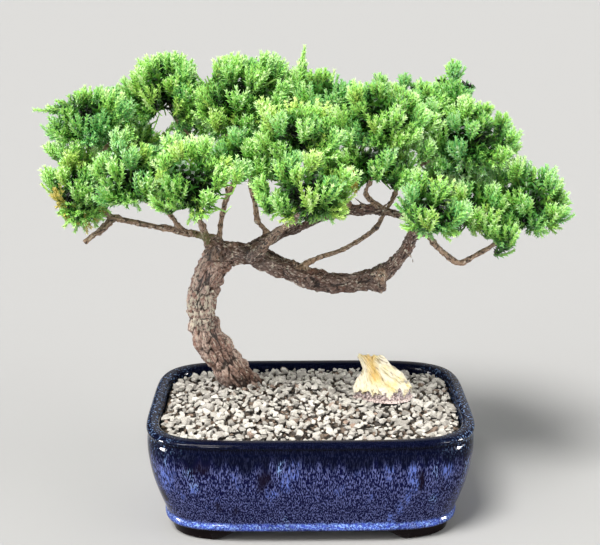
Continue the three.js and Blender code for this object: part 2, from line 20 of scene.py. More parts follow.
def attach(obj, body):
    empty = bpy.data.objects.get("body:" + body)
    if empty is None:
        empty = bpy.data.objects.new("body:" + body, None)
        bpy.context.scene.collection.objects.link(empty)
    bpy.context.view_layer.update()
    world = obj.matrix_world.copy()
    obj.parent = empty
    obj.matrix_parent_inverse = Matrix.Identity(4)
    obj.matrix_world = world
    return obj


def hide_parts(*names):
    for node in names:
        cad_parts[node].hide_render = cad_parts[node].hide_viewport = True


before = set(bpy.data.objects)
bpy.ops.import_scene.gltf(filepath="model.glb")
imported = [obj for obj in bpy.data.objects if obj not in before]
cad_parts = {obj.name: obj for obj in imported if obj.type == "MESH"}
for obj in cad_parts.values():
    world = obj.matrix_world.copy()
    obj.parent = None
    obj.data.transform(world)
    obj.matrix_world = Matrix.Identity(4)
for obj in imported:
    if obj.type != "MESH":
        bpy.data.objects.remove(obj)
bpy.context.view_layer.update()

LOG = logging.getLogger("bonsai")
MM = 0.001
BODY = "root"
GOLDEN_ANGLE = math.pi * (3 - math.sqrt(5))
VALLEY_SEED = 7
FIRST_SPRAY_SEED = 101
VALLEY_WIDEST = 16.0
VALLEY_FILL = 0.62

Socket = bpy.types.NodeSocket
Material = bpy.types.Material
Point = tuple[float, float, float]
Spot = tuple[float, float, float, float]
Rgba = tuple[float, float, float, float]


class Slot(Enum):
    """The record's material slots."""

    GLAZE = "glaze"
    SCREEN = "screen"
    SOIL = "soil"
    GRAVEL = "gravel"
    STONE = "ornamental_stone"
    BARK = "bark"
    FOLIAGE = "foliage"


class Shading(Enum):
    """How a piece's faces meet in the light."""

    FLAT = "flat"
    SMOOTH = "smooth"


class Joining(Enum):
    """What a tool does to the solid that it meets."""

    UNION = "UNION"
    DIFFERENCE = "DIFFERENCE"


# Shared helpers


def linear(colour: str) -> Rgba:
    """Turns an sRGB colour to linear light.

    Args:
        colour: Six hex digits after a number sign.

    Returns:
        Red, green, blue and an alpha of 1.
    """
    parts = [int(colour[i : i + 2], 16) / 255 for i in (1, 3, 5)]
    light = [c / 12.92 if c <= 0.04045 else ((c + 0.055) / 1.055) ** 2.4 for c in parts]
    return (light[0], light[1], light[2], 1.0)


class Paint:
    """A material in the making, and the ways in which its colours and its relief are worked out."""

    def __init__(self, name: str) -> None:
        """Starts an empty material.

        Args:
            name: The material's name.
        """
        self.material = bpy.data.materials.new(name)
        self.material.use_nodes = True
        self.tree = self.material.node_tree
        self.tree.nodes.clear()

    def add(
        self,
        kind: str,
        settings: dict[str | int, object] | None = None,
        links: dict[str | int, Socket] | None = None,
    ) -> bpy.types.Node:
        """Adds a node with its settings and links.

        Args:
            kind: The node's type name after ShaderNode.
            settings: Values by input socket or by property. The key "stops" holds a colour ramp's stops.
            links: Output sockets by the input that each one feeds.

        Returns:
            The new node.
        """
        node = self.tree.nodes.new("ShaderNode" + kind)
        for key, value in (settings or {}).items():
            if key == "stops":
                ramp = node.color_ramp
                while len(ramp.elements) < len(value):
                    ramp.elements.new(1.0)
                for element, (position, colour) in zip(ramp.elements, value):
                    element.position = position
                    element.color = linear(colour)
            elif isinstance(key, int) or key in node.inputs:
                node.inputs[key].default_value = value
            else:
                setattr(node, key, value)
        for key, socket in (links or {}).items():
            self.tree.links.new(socket, node.inputs[key])
        return node

    @cached_property
    def place(self) -> Socket:
        """Places on the object itself, in metres."""
        return self.add("TexCoord").outputs["Object"]

    def mark(self, name: str, output: str = "Fac") -> Socket:
        """The numbers that a mesh carries under a name."""
        return self.add("Attribute", {"attribute_name": name}).outputs[output]

    def ramp(self, value: Socket, *stops: tuple[float, str]) -> Socket:
        """Colours by a value."""
        return self.add("ValToRGB", {"stops": stops}, {0: value}).outputs[0]

    def grain(
        self,
        scale: float | Point,
        detail: float = 2.0,
        vector: Socket | None = None,
        shift: Point = (0.0, 0.0, 0.0),
    ) -> Socket:
        """A noise.

        Args:
            scale: Grains to a metre, or to a unit of the vector, alike or each way.
            detail: How many finer layers it has.
            vector: The coordinates, if not places on the object.
            shift: How far it is moved, in grains.

        Returns:
            The noise, from 0 to 1.
        """
        scale = scale if isinstance(scale, tuple) else (scale,) * 3
        source = self.place if vector is None else vector
        mapped = self.add("Mapping", {"Scale": scale, "Location": shift}, {"Vector": source}).outputs[0]
        return self.add("TexNoise", {"Scale": 1.0, "Detail": detail}, {"Vector": mapped}).outputs["Fac"]

    def step(self, value: Socket, start: float, end: float, high: float = 1.0, low: float = 0.0) -> Socket:
        """A smooth step from low to high, while a value runs from start to end."""
        settings = {"interpolation_type": "SMOOTHSTEP", 1: start, 2: end, 3: low, 4: high}
        return self.add("MapRange", settings, {0: value}).outputs[0]

    def sum_of(self, a: Socket, b: Socket, factor: float = 1.0) -> Socket:
        """One value plus another one times a factor."""
        return self.add("Math", {"operation": "MULTIPLY_ADD", 1: factor}, {0: b, 2: a}).outputs[0]

    def product(self, a: Socket, b: Socket) -> Socket:
        """Two values multiplied."""
        return self.add("Math", {"operation": "MULTIPLY"}, {0: a, 1: b}).outputs[0]

    def laid(
        self, fraction: Socket | float, under: Socket, over: Socket | str, blend: str = "MIX"
    ) -> Socket:
        """A colour laid over another one by a fraction.

        Args:
            fraction: The share of the upper colour.
            under: The lower colour.
            over: The upper colour.
            blend: How the two mix.

        Returns:
            The mixed colour.
        """
        settings: dict[str | int, object] = {"data_type": "RGBA", "blend_type": blend}
        links = {6: under}
        for key, part in ((0, fraction), (7, over)):
            if isinstance(part, bpy.types.NodeSocket):
                links[key] = part
            else:
                settings[key] = linear(part) if isinstance(part, str) else part
        return self.add("Mix", settings, links).outputs[2]

    def finished(
        self,
        colour: Socket | None,
        shine: dict[str, object],
        relief: Socket | None = None,
        strength: float = 1.0,
        depth_mm: float = 1.0,
    ) -> Material:
        """Ends the material with its shader.

        Args:
            colour: The colour, if it varies over the surface.
            shine: The shader's uniform values.
            relief: The height of its fine relief.
            strength: How strongly that shows.
            depth_mm: The relief's depth in millimetres.

        Returns:
            The material.
        """
        links = {} if colour is None else {"Base Color": colour}
        if relief is not None:
            settings = {"Strength": strength, "Distance": depth_mm * MM}
            links["Normal"] = self.add("Bump", settings, {"Height": relief}).outputs[0]
        shader = self.add("BsdfPrincipled", shine, links)
        self.add("OutputMaterial", links={0: shader.outputs[0]})
        return self.material


def loft(rings: int, sides: int, is_closed: bool = False) -> np.ndarray:
    """Numbers the four-sided faces between rings of points.

    Args:
        rings: The number of rings.
        sides: The points of each ring.
        is_closed: Whether the last ring meets the first one.

    Returns:
        A row of four points for each face.
    """
    side = np.arange(sides)
    following = (side + 1) % sides
    bands = []
    for ring in range(rings if is_closed else rings - 1):
        here, after = ring * sides, (ring + 1) % rings * sides
        bands.append(np.stack([here + side, here + following, after + following, after + side], 1))
    return np.vstack(bands)


def split(faces: np.ndarray) -> np.ndarray:
    """Splits four-sided faces into triangles."""
    return np.vstack([faces[:, [0, 1, 2]], faces[:, [0, 2, 3]]])


@dataclass
class Surface:
    """One mesh to be: its points in metres, its faces, and named numbers for each point."""

    points: np.ndarray
    faces: np.ndarray
    marks: dict[str, np.ndarray] = field(default_factory=dict)

    def mesh(self, name: str, shading: Shading) -> bpy.types.Mesh:
        """Builds the mesh.

        Args:
            name: The mesh's name.
            shading: Flat or smooth.

        Returns:
            The mesh.
        """
        mesh = bpy.data.meshes.new(name)
        corners = self.faces.shape[1]
        mesh.vertices.add(len(self.points))
        mesh.vertices.foreach_set("co", np.ascontiguousarray(self.points, np.float32).ravel())
        mesh.loops.add(self.faces.size)
        mesh.loops.foreach_set("vertex_index", np.ascontiguousarray(self.faces, np.int32).ravel())
        mesh.polygons.add(len(self.faces))
        mesh.polygons.foreach_set("loop_start", np.arange(0, self.faces.size, corners, dtype=np.int32))
        mesh.update(calc_edges=True)
        for mark, values in self.marks.items():
            layer = mesh.attributes.new(mark, "FLOAT", "POINT")
            layer.data.foreach_set("value", np.ascontiguousarray(values, np.float32))
        if shading is Shading.SMOOTH:
            mesh.shade_smooth()
        else:
            mesh.shade_flat()
        return mesh


def joined(surfaces: list[Surface]) -> Surface:
    """Puts several surfaces with the same marks into one.

    Args:
        surfaces: The surfaces.

    Returns:
        One surface.
    """
    starts = np.cumsum([0] + [len(s.points) for s in surfaces[:-1]])
    return Surface(
        np.concatenate([s.points for s in surfaces]),
        np.concatenate([s.faces + start for s, start in zip(surfaces, starts)]),
        {m: np.concatenate([s.marks[m] for s in surfaces]) for m in surfaces[0].marks},
    )


def place_object(name: str, data: bpy.types.ID) -> bpy.types.Object:
    """Links new data to the scene as an object.

    Args:
        name: The object's name.
        data: A mesh, a light or a camera.

    Returns:
        The object.
    """
    made = bpy.data.objects.new(name, data)
    bpy.context.scene.collection.objects.link(made)
    return made


def place_piece(
    name: str, mesh: bpy.types.Mesh, material: Material, slot: Slot, replaced: list[str]
) -> bpy.types.Object:
    """Adds a piece of the bonsai that stands for nodes of the frame.

    Args:
        name: The piece's name.
        mesh: Its final mesh.
        material: Its finish.
        slot: The record's slot for that finish. It is not used.
        replaced: The nodes that it stands for.

    Returns:
        The piece.
    """
    mesh.materials.clear()
    mesh.materials.append(material)
    piece = place_object(name, mesh)
    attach(piece, BODY)
    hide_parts(*replaced)
    LOG.info("%s: %d faces", name, len(mesh.polygons))
    return piece


def combine(target: bpy.types.Object, tool: bpy.types.Object, joining: Joining) -> None:
    """Joins a tool to a target solid, or cuts it away, and removes the tool.

    Args:
        target: The solid that is changed.
        tool: The solid that is used up.
        joining: Whether the tool is joined or cut away.
    """
    modifier = target.modifiers.new("combine", "BOOLEAN")
    modifier.operation = joining.value
    modifier.solver = "MANIFOLD"
    modifier.object = tool
    apply_modifiers(target)
    bpy.data.objects.remove(tool)


def apply_modifiers(target: bpy.types.Object) -> None:
    """Turns an object's modifiers into its mesh.

    Args:
        target: The object.
    """
    bpy.context.view_layer.update()
    depsgraph = bpy.context.evaluated_depsgraph_get()
    mesh = bpy.data.meshes.new_from_object(target.evaluated_get(depsgraph))
    target.modifiers.clear()
    target.data = mesh


def spline(points: np.ndarray, spacing: float) -> np.ndarray:
    """Draws a smooth centripetal curve through points, with rows of any width.

    Args:
        points: One row for each point. The first three columns are its place.
        spacing: Distance between the curve's own points.

    Returns:
        Rows of the same width along the curve.
    """
    padded = np.vstack([2 * points[0] - points[1], points, 2 * points[-1] - points[-2]])
    rows = []
    for i in range(len(points) - 1):
        a, b, c, d = padded[i : i + 4]
        knots = np.cumsum([0] + [np.linalg.norm((q - p)[:3]) ** 0.5 for p, q in ((a, b), (b, c), (c, d))])
        count = max(2, round(np.linalg.norm((c - b)[:3]) / spacing))
        t = np.linspace(knots[1], knots[2], count, endpoint=False)[:, None]

        def blend(p: np.ndarray, q: np.ndarray, start: float, end: float) -> np.ndarray:
            """Mixes two rows or curves over a stretch of t."""
            return ((end - t) * p + (t - start) * q) / (end - start)

        ab, bc, cd = (blend(p, q, *knots[k : k + 2]) for k, (p, q) in enumerate(((a, b), (b, c), (c, d))))
        abc, bcd = blend(ab, bc, knots[0], knots[2]), blend(bc, cd, knots[1], knots[3])
        rows.append(blend(abc, bcd, knots[1], knots[2]))
    return np.vstack([*rows, points[-1:]])


def unit(vectors: np.ndarray) -> np.ndarray:
    """Scales vectors to a length of 1."""
    return vectors / np.maximum(np.linalg.norm(vectors, axis=-1, keepdims=True), 1e-9)


# The glazed pot


@dataclass(frozen=True)
class CobaltRutileGlaze:
    """Stoneware under a thick cobalt glaze with rutile, fired until it ran.

    To the eye it is a deep, wet gloss: nearly black navy where it ran thin at the rim, broken by fine
    blue grey specks and vertical runs lower down, and brighter blue where it pooled at the foot. The drips
    and the bare iron scars on the front are x, z, half width and half height in millimetres.
    """

    night: str = "#02051a"
    navy: str = "#060a2a"
    indigo: str = "#090b33"
    speck: str = "#8c97dc"
    run: str = "#7088e2"
    sky: str = "#8fb2ea"
    pooled: str = "#4055b6"
    iron: str = "#120a0c"
    scuff: str = "#b7a99a"
    roughness: float = 0.05
    ior: float = 1.5
    specular: float = 0.05
    speck_mm: float = 0.76
    dash_mm: float = 1.0
    patch_mm: float = 10.0
    run_mm: float = 6.0
    sweep_mm: float = 42.0
    drips: tuple[Spot, ...] = (
        (-113, 57, 7, 13), (-91, 51, 3.5, 4), (-13, 70, 4, 9), (-20, 58, 4, 8), (-31, 48, 5, 4),
        (60, 68, 3.5, 8), (78, 68, 3.5, 10), (80, 56, 3.5, 8), (106, 66, 6, 8), (75, 44, 3, 7),
        (69, 33, 3, 7), (62, 23, 3.5, 6),
    )
    scars: tuple[Spot, ...] = ((-37, 62, 7, 15), (-90, 73, 13, 9), (85, 60, 3, 12))

    def make(self) -> Material:
        """Builds the material.

        Returns:
            The material.
        """
        paint = Paint("cobalt_rutile_glaze_fired")
        step, sum_of, product = paint.step, paint.sum_of, paint.product
        across, forward, height = paint.add("SeparateXYZ", links={0: paint.place}).outputs

        def grain(size_mm: float, stretch: float, detail: float = 2.0) -> Socket:
            """A noise of a real grain size, drawn out downwards."""
            scale = 1 / (size_mm * MM)
            return paint.grain((scale, scale, scale / stretch), detail, shift=(size_mm, stretch, detail))

        runs, sweep = grain(self.run_mm, 9, 3.0), grain(self.sweep_mm, 1.8)
        edge = sum_of(sum_of(height, runs, -26 * MM), sweep, -20 * MM)
        body = step(edge, 57 * MM, 41 * MM)
        specks = step(grain(self.speck_mm, 4.8), 0.5, 0.6)
        dashes = step(grain(self.dash_mm, 7.0), 0.45, 0.6)
        wobble = grain(self.patch_mm, 2.4, 3.0)
        front = step(forward, -55 * MM, -75 * MM)

        def near(spots: tuple[Spot, ...]) -> Socket:
            """Finds how near the front's surface lies to the closest of some spots.

            Args:
                spots: The spots.

            Returns:
                The nearness, from 0 to 1.
            """
            found = None
            for x, z, half_width, half_height in spots:
                scale = (1 / (half_width * MM), 0.0, 1 / (half_height * MM))
                spread = {"Scale": scale, "Location": (-x / half_width, 0.0, -z / half_height)}
                mapped = paint.add("Mapping", spread, {"Vector": paint.place}).outputs[0]
                length = paint.add("VectorMath", {"operation": "LENGTH"}, {0: mapped}).outputs["Value"]
                if found is not None:
                    length = paint.add("Math", {"operation": "MINIMUM"}, {0: found, 1: length}).outputs[0]
                found = length
            return product(step(sum_of(found, wobble, 2.2), 2.4, 1.5), front)

        patches = sum_of(near(self.drips), step(wobble, 0.62, 0.72), 0.6)
        streak = sum_of(near(self.scars), step(grain(20, 3.2, 3.0), 0.6, 0.68))
        end = paint.add("Math", {"operation": "ABSOLUTE"}, {0: across}).outputs[0]
        crackle = product(step(end, 92 * MM, 130 * MM), step(height, 70 * MM, 88 * MM, 0.6))
        density = sum_of(step(body, 0.0, 1.0, 0.42, 0.03), product(streak, body), -0.4)
        flares = product(step(grain(9, 4), 0.58, 0.7), step(sweep, 0.5, 0.62))
        wet_edge = sum_of(height, runs, -5 * MM)
        pool = product(step(wet_edge, 17 * MM, 14 * MM), step(height, 11.9 * MM, 13.4 * MM))
        pool = product(pool, step(grain(26, 1), 0.34, 0.6, 1, 0.5))
        colour = paint.ramp(body, (0.0, self.night), (0.35, self.navy), (1.0, self.indigo))
        for fraction, over in (
            (product(streak, step(body, 0, 1, 0.7)), self.iron),
            (product(specks, density), self.speck),
            (product(step(grain(1.7, 1.2, 3.0), 0.56, 0.66), crackle), self.sky),
            (product(product(patches, dashes), step(body, 0.05, 0.6, 0.62)), self.run),
            (product(product(flares, specks), step(body, 0.1, 0.7, 0.9)), self.sky),
            (product(pool, step(grain(2.6, 0.7), 0.34, 0.58, 0.95, 0.2)), self.pooled),
            (product(pool, step(grain(1.5, 0.7), 0.5, 0.62, 0.85)), self.sky),
            (step(height, 12.6 * MM, 10.4 * MM), self.iron),
            (product(step(grain(1.6, 1), 0.66, 0.7), step(height, 3 * MM, 0.2 * MM)), self.scuff),
        ):
            colour = paint.laid(fraction, colour, over)
        shine = {"Roughness": self.roughness, "IOR": self.ior, "Specular IOR Level": self.specular}
        return paint.finished(colour, shine, sum_of(grain(7, 2.5), specks, 0.05), 0.3, 0.5)


@dataclass
class Pot:
    """The rectangular glazed pot. All sizes are in millimetres, with z up from the surface it stands on.

    A profile is a list of (z, how far the wall lies inside the rim's own half width).
    """

    half_x: float = 132.5
    half_y: float = 102.0
    plan_power: float = 4.9
    side_ratio: float = 1.25
    sides: int = 160
    body_bottom: float = 10.5
    drain_radius: float = 7.0
    drain_x: float = 52.0
    drill_span: tuple[float, float] = (2.0, 24.0)
    drill_sides: int = 32
    sharp_deg: float = 42.0
    outside: tuple[tuple[float, float], ...] = (
        (10.5, 19.0), (10.6, 14.6), (11.6, 12.9), (13.6, 12.3), (15.8, 12.6), (17.6, 13.1), (20.5, 12.2),
        (32, 8.4), (42, 5.4), (50, 3.4), (61, 1.5), (72, 0.4), (80, 0.5), (84.4, 1.3), (85.8, 1.2),
        (87.2, 0.4), (88.8, 0), (90.4, 0.6), (91.5, 1.9), (92, 3.8),
    )
    inside: tuple[tuple[float, float], ...] = (
        (91.8, 6.4), (91.0, 8.2), (89.4, 9.5), (86.5, 10.2), (70, 10.6), (40, 14.5), (24, 20), (18.4, 24),
        (17.5, 28),
    )
    foot_outside: tuple[float, float] = (18.2, 15.9)
    foot_inside: tuple[float, float] = (32.6, 29.9)
    foot_round: float = 0.9
    foot_sunk: float = 1.0
    foot_sides: int = 288
    long_arch: tuple[float, float] = (79, 52)
    side_arch: tuple[float, float] = (50, 28)

    def unit_plan(self, sides: int) -> np.ndarray:
        """Draws the plan, a superellipse, with its points spaced evenly round the pot.

        Args:
            sides: The number of points.

        Returns:
            The points, on half widths of 1.
        """
        t = np.linspace(0, 2 * math.pi, 4001)
        power = 2 / self.plan_power
        plan = np.stack([np.sign(f) * np.abs(f) ** power for f in (np.cos(t), np.sin(t))], 1)
        steps = np.linalg.norm(np.diff(plan * (self.half_x, self.half_y), axis=0), axis=1)
        along = np.concatenate([[0], np.cumsum(steps)])
        wanted = np.linspace(0, along[-1], sides, endpoint=False)
        return np.stack([np.interp(wanted, along, plan[:, k]) for k in (0, 1)], 1)

    def half_sizes(self, inset: float | np.ndarray) -> tuple[float | np.ndarray, float | np.ndarray]:
        """The half widths of the plan at an inset."""
        return self.half_x - inset, self.half_y - inset * self.side_ratio

    def turned(self, name: str, profile: np.ndarray) -> bpy.types.Object:
        """Lofts a closed solid from a profile round the plan.

        Args:
            name: The object's name.
            profile: Rows of z and inset.

        Returns:
            The solid, in metres.
        """
        plan, sides = self.unit_plan(self.sides), self.sides
        rings = [
            np.column_stack([plan * self.half_sizes(inset), np.full(sides, z)]) * MM for z, inset in profile
        ]
        points = [*map(tuple, np.vstack(rings)), *(tuple(ring.mean(0)) for ring in (rings[0], rings[-1]))]
        middle, top = len(points) - 2, (len(rings) - 1) * sides
        faces = loft(len(rings), sides).tolist()
        faces += [(middle, (i + 1) % sides, i) for i in range(sides)]
        faces += [(middle + 1, top + i, top + (i + 1) % sides) for i in range(sides)]
        mesh = bpy.data.meshes.new(name)
        mesh.from_pydata(points, [], faces)
        mesh.validate()
        return place_object(name, mesh)

    def feet(self) -> bpy.types.Object:
        """The four feet: one ring under the body, whose underside rises into the body between them.

        Returns:
            The ring, closed and in metres.
        """
        plan = self.unit_plan(self.foot_sides)
        at = np.abs(plan * self.half_sizes(self.foot_outside[0]))
        rises = [
            np.clip((below - at[:, axis]) / (below - above), 0, 1)
            for axis, (below, above) in enumerate((self.long_arch, self.side_arch))
        ]
        rise = np.maximum(*rises)
        top = self.body_bottom + self.foot_sunk
        low = (3 - 2 * rise) * rise**2 * (top - 0.4)
        rings = []
        for up, is_outer, inward in (
            (self.foot_round, True, 0.0), (top, True, 0.0), (top, False, 0.0), (self.foot_round, False, 0.0),
            (0.0, False, self.foot_round), (0.0, True, self.foot_round),
        ):
            height = np.full(len(plan), up) if up == top else np.minimum(low + up, top - 0.2)
            foot, neck = self.foot_outside if is_outer else self.foot_inside
            inset = foot + (neck - foot) * height / top + (inward if is_outer else -inward)
            rings.append(np.column_stack([plan * np.stack(self.half_sizes(inset), 1), height]))
        surface = Surface(np.vstack(rings) * MM, loft(len(rings), len(plan), is_closed=True))
        return place_object("feet", surface.mesh("feet", Shading.SMOOTH))

    def drill(self, x: float) -> bpy.types.Object:
        """Makes a round cutter for a drain hole.

        Args:
            x: Its place along X.

        Returns:
            The cutter, in metres.
        """
        turns = np.linspace(0, 2 * math.pi, self.drill_sides, endpoint=False)
        ring = [(x + self.drain_radius * math.cos(t), self.drain_radius * math.sin(t)) for t in turns]
        points = [(u * MM, v * MM, z * MM) for z in self.drill_span for u, v in ring]
        count = len(ring)
        faces = [(i, (i + 1) % count, count + (i + 1) % count, count + i) for i in range(count)]
        faces += [tuple(reversed(range(count))), tuple(range(count, 2 * count))]
        mesh = bpy.data.meshes.new("drill")
        mesh.from_pydata(points, [], faces)
        return place_object("drill", mesh)

    def build(self) -> None:
        """Builds the pot and dresses it."""
        wall = np.array([*self.outside, *self.inside])
        profile = spline(np.column_stack([wall, np.zeros(len(wall))]), 3.4)[:, :2]
        pot = self.turned("glazed_pot_blank", profile)
        combine(pot, self.feet(), Joining.UNION)
        for x in (-self.drain_x, self.drain_x):
            combine(pot, self.drill(x), Joining.DIFFERENCE)
        mesh = pot.data.copy()
        bpy.data.objects.remove(pot)
        mesh.shade_smooth()
        mesh.set_sharp_from_angle(angle=math.radians(self.sharp_deg))
        place_piece("glazed_pot", mesh, CobaltRutileGlaze().make(), Slot.GLAZE, ["pot"])


# What fills the pot


@dataclass(frozen=True)
class BarkAndPeatMix:
    """Potting mix of bark, peat and grit, pressed in by hand: dark, dull and crumbly."""

    dark: str = "#1d140f"
    light: str = "#5a4433"
    crumb_mm: float = 2.4

    def make(self) -> Material:
        """Builds the material.

        Returns:
            The material.
        """
        paint = Paint("bark_and_peat_mix_pressed")
        crumbs = paint.grain(1 / (self.crumb_mm * MM), 4.0)
        tone = paint.ramp(crumbs, (0.35, self.dark), (0.7, self.light))
        return paint.finished(tone, {"Roughness": 0.95}, crumbs, 0.8, 1.0)


@dataclass(frozen=True)
class PolyethyleneMesh:
    """Black polyethylene, moulded as mesh: dark, slightly waxy, with a faint grain from the mould."""

    black: str = "#141414"
    grey: str = "#262626"
    grain_mm: float = 1.5

    def make(self) -> Material:
        """Builds the material.

        Returns:
            The material.
        """
        paint = Paint("polyethylene_moulded_mesh")
        tone = paint.ramp(paint.grain(1 / (self.grain_mm * MM)), (0.4, self.black), (0.65, self.grey))
        return paint.finished(tone, {"Roughness": 0.5, "IOR": 1.51})


@dataclass(frozen=True)
class CrushedStone:
    """Pale granite grit, crushed and washed.

    To the eye it is chalky and dry: mostly light beige grey, with a few pink, brown and darker stones,
    each with its own tone and with sharp, matt broken faces. Its darkest tones are painted shade: they
    colour the bed and the lowest stones, in the gaps between the stones on top.
    """

    tones: tuple[tuple[float, str], ...] = (
        # The first, darkest stops are painted shade for the bed and the lowest layer of stones.
        (0.0, "#2a241e"), (0.012, "#6a5b4c"), (0.03, "#b59c8c"), (0.045, "#9e9a94"),
        (0.2, "#aeaba6"), (0.45, "#c5c2bd"), (0.8, "#d9d7d2"), (1.0, "#f0eeea"),
    )
    dust: str = "#b3b1ad"
    bare: str = "#ffffff"
    grain_mm: float = 0.7

    def make(self) -> Material:
        """Builds the material.

        Returns:
            The material.
        """
        paint = Paint("granite_grit_crushed")
        stones = paint.ramp(paint.mark("tone"), *self.tones)
        grain = paint.grain(1 / (self.grain_mm * MM), 3.0)
        colour = paint.laid(0.8, stones, paint.ramp(grain, (0.3, self.dust), (0.6, self.bare)), "MULTIPLY")
        return paint.finished(colour, {"Roughness": 0.88, "IOR": 1.54}, grain, 0.5, 0.3)


@dataclass
class Gravel:
    """The top dressing: loose crushed stones on a dark bed. Sizes are in millimetres.

    A layer is its pitch, its lift, its stones' usual width, and their darkest and palest tone.
    """

    pot: Pot
    edge_height: float = 85.6
    crown: float = 6.2
    bottom: float = 74.3
    wall_inset: float = 11.2
    kinds: int = 18
    blank_points: int = 10
    slope_margin: tuple[float, float] = (10.0, 12.0)
    jolt: float = 0.36
    wall_gap: float = 1.4
    bed_drop: float = 3.4
    trunk_at: Point = (-58.5, 46.5, 15.5)
    stone_at: Spot = (63.0, 4.5, 23.0, 19.0)
    layers: tuple[tuple[float, float, float, float, float], ...] = (
        # The first layer lies lowest and takes the darkest tones: painted shade in the gaps between the
        # stones on top.
        (5.6, -2.9, 5.6, 0.0, 0.022), (6.6, 0.3, 6.8, 0.01, 0.9), (12.0, 1.0, 4.2, 0.3, 0.95),
    )
    seed: int = 21

    def height(self, x: np.ndarray, y: np.ndarray) -> np.ndarray:
        """Tells how high the bed is.

        Args:
            x: Places along X, in millimetres.
            y: Places along Y.

        Returns:
            The heights.
        """
        u = np.minimum(1, np.abs(x) / (self.pot.half_x - self.slope_margin[0]))
        v = np.minimum(1, np.abs(y) / (self.pot.half_y - self.slope_margin[1]))
        return self.edge_height + self.crown * (1 - u * u) * (1 - v * v)

    def is_inside(self, x: np.ndarray, y: np.ndarray, inset: float) -> np.ndarray:
        """Tells which places lie inside the pot's wall.

        Args:
            x: Places along X, in millimetres.
            y: Places along Y.
            inset: How far inside the rim's half width the wall is taken.

        Returns:
            Whether each place lies inside.
        """
        half_x, half_y = self.pot.half_sizes(inset)
        power = self.pot.plan_power
        return np.abs(x / half_x) ** power + np.abs(y / half_y) ** power < 1

    def places(self, rng: np.random.Generator, pitch: float) -> tuple[np.ndarray, np.ndarray]:
        """A jolted triangular lattice of places for stones.

        Args:
            rng: The source of random numbers.
            pitch: The distance between places, in millimetres.

        Returns:
            The places' x and y.
        """
        reach = math.ceil(self.pot.half_x / pitch) + 1
        grid_x, grid_y = np.meshgrid(np.arange(-reach, reach + 1), np.arange(-reach, reach + 1))
        x = (grid_x + 0.5 * (grid_y % 2)) * pitch
        y = grid_y * pitch * math.sqrt(3) / 2
        x, y = ((v + rng.uniform(-self.jolt, self.jolt, v.shape) * pitch).ravel() for v in (x, y))
        trunk_x, trunk_y, trunk_radius = self.trunk_at
        stone_x, stone_y, stone_half_x, stone_half_y = self.stone_at
        is_free = self.is_inside(x, y, self.wall_inset + self.wall_gap)
        is_free &= np.hypot(x - trunk_x, y - trunk_y) > trunk_radius
        is_free &= np.hypot((x - stone_x) / stone_half_x, (y - stone_y) / stone_half_y) > 1
        return x[is_free], y[is_free]

    def blanks(self, rng: np.random.Generator) -> list[tuple[np.ndarray, np.ndarray]]:
        """Breaks a few stones of width 1 that all others are copies of: hulls of strewn points.

        Args:
            rng: The source of random numbers.

        Returns:
            Each stone's points and faces.
        """
        found = []
        for _ in range(self.kinds):
            squeeze = np.array([1.0, rng.uniform(0.62, 0.95), rng.uniform(0.5, 0.78)])
            strewn = unit(rng.normal(size=(self.blank_points, 3))) * squeeze / 2
            shell = bmesh.new()
            hull = bmesh.ops.convex_hull(shell, input=[shell.verts.new(p) for p in strewn])
            bmesh.ops.delete(shell, geom=hull["geom_interior"] + hull["geom_unused"], context="VERTS")
            bmesh.ops.recalc_face_normals(shell, faces=shell.faces[:])
            shell.verts.index_update()
            points = np.array([v.co[:] for v in shell.verts])
            faces = np.array([[v.index for v in face.verts] for face in shell.faces])
            found.append((points, faces))
            shell.free()
        return found

    def stones(
        self, rng: np.random.Generator, pitch: float, lift: float, size: float, dark: float, pale: float
    ) -> list[Surface]:
        """Strews one layer of broken stones.

        Args:
            rng: The source of random numbers.
            pitch: The distance between stones, in millimetres.
            lift: How far the stones' middles lie above the bed, in millimetres.
            size: The stones' usual width, in millimetres.
            dark: The darkest tone that the layer's stones have, from 0 to 1.
            pale: The palest tone that they have.

        Returns:
            The stones, in one surface for each blank.
        """
        x, y = self.places(rng, pitch)
        count = len(x)
        z = self.height(x, y) + lift + rng.uniform(-0.8, 0.9, count)
        middles = np.stack([x, y, z], 1)
        widths = np.clip(size * rng.lognormal(0, 0.27, count), 0.55 * size, 1.6 * size)
        tones = rng.uniform(dark, pale, count)
        kinds = rng.integers(0, self.kinds, count)
        lean, spin, way = rng.uniform(-0.6, 0.6, count), *rng.uniform(0, 2 * math.pi, (2, count))
        layer = []
        for kind, (points, faces) in enumerate(self.blanks(rng)):
            rows = np.flatnonzero(kinds == kind)
            turns = [
                Matrix.Rotation(lean[i], 3, Vector((math.cos(way[i]), math.sin(way[i]), 0)))
                @ Matrix.Rotation(spin[i], 3, "Z")
                for i in rows
            ]
            shapes = np.einsum("nij,kj->nki", np.array(turns), points) * widths[rows, None, None]
            placed = (shapes + middles[rows, None]).reshape(-1, 3) * MM
            index = faces[None] + (np.arange(len(rows)) * len(points))[:, None, None]
            marks = {"tone": np.repeat(tones[rows], len(points))}
            layer.append(Surface(placed, index.reshape(-1, 3), marks))
        return layer

    def bed(self) -> Surface:
        """Builds the dark bed that the stones lie on, closed below. Its darkness is painted shade in the
        gaps between the stones.
        """
        plan = self.pot.unit_plan(self.pot.sides)
        shares = np.linspace(1, 0.02, 14)
        half = np.array(self.pot.half_sizes(self.wall_inset))
        rings = []
        for share in shares:
            x, y = (plan * half * share).T
            rings.append(np.stack([x, y, self.height(x, y) - self.bed_drop], 1))
        rings.insert(0, np.column_stack([plan * half, np.full(len(plan), self.bottom)]))
        rings.insert(0, np.column_stack([plan * half * 0.02, np.full(len(plan), self.bottom)]))
        points = np.vstack(rings) * MM
        faces = split(loft(len(rings), len(plan), is_closed=True))
        return Surface(points, faces, {"tone": np.zeros(len(points))})

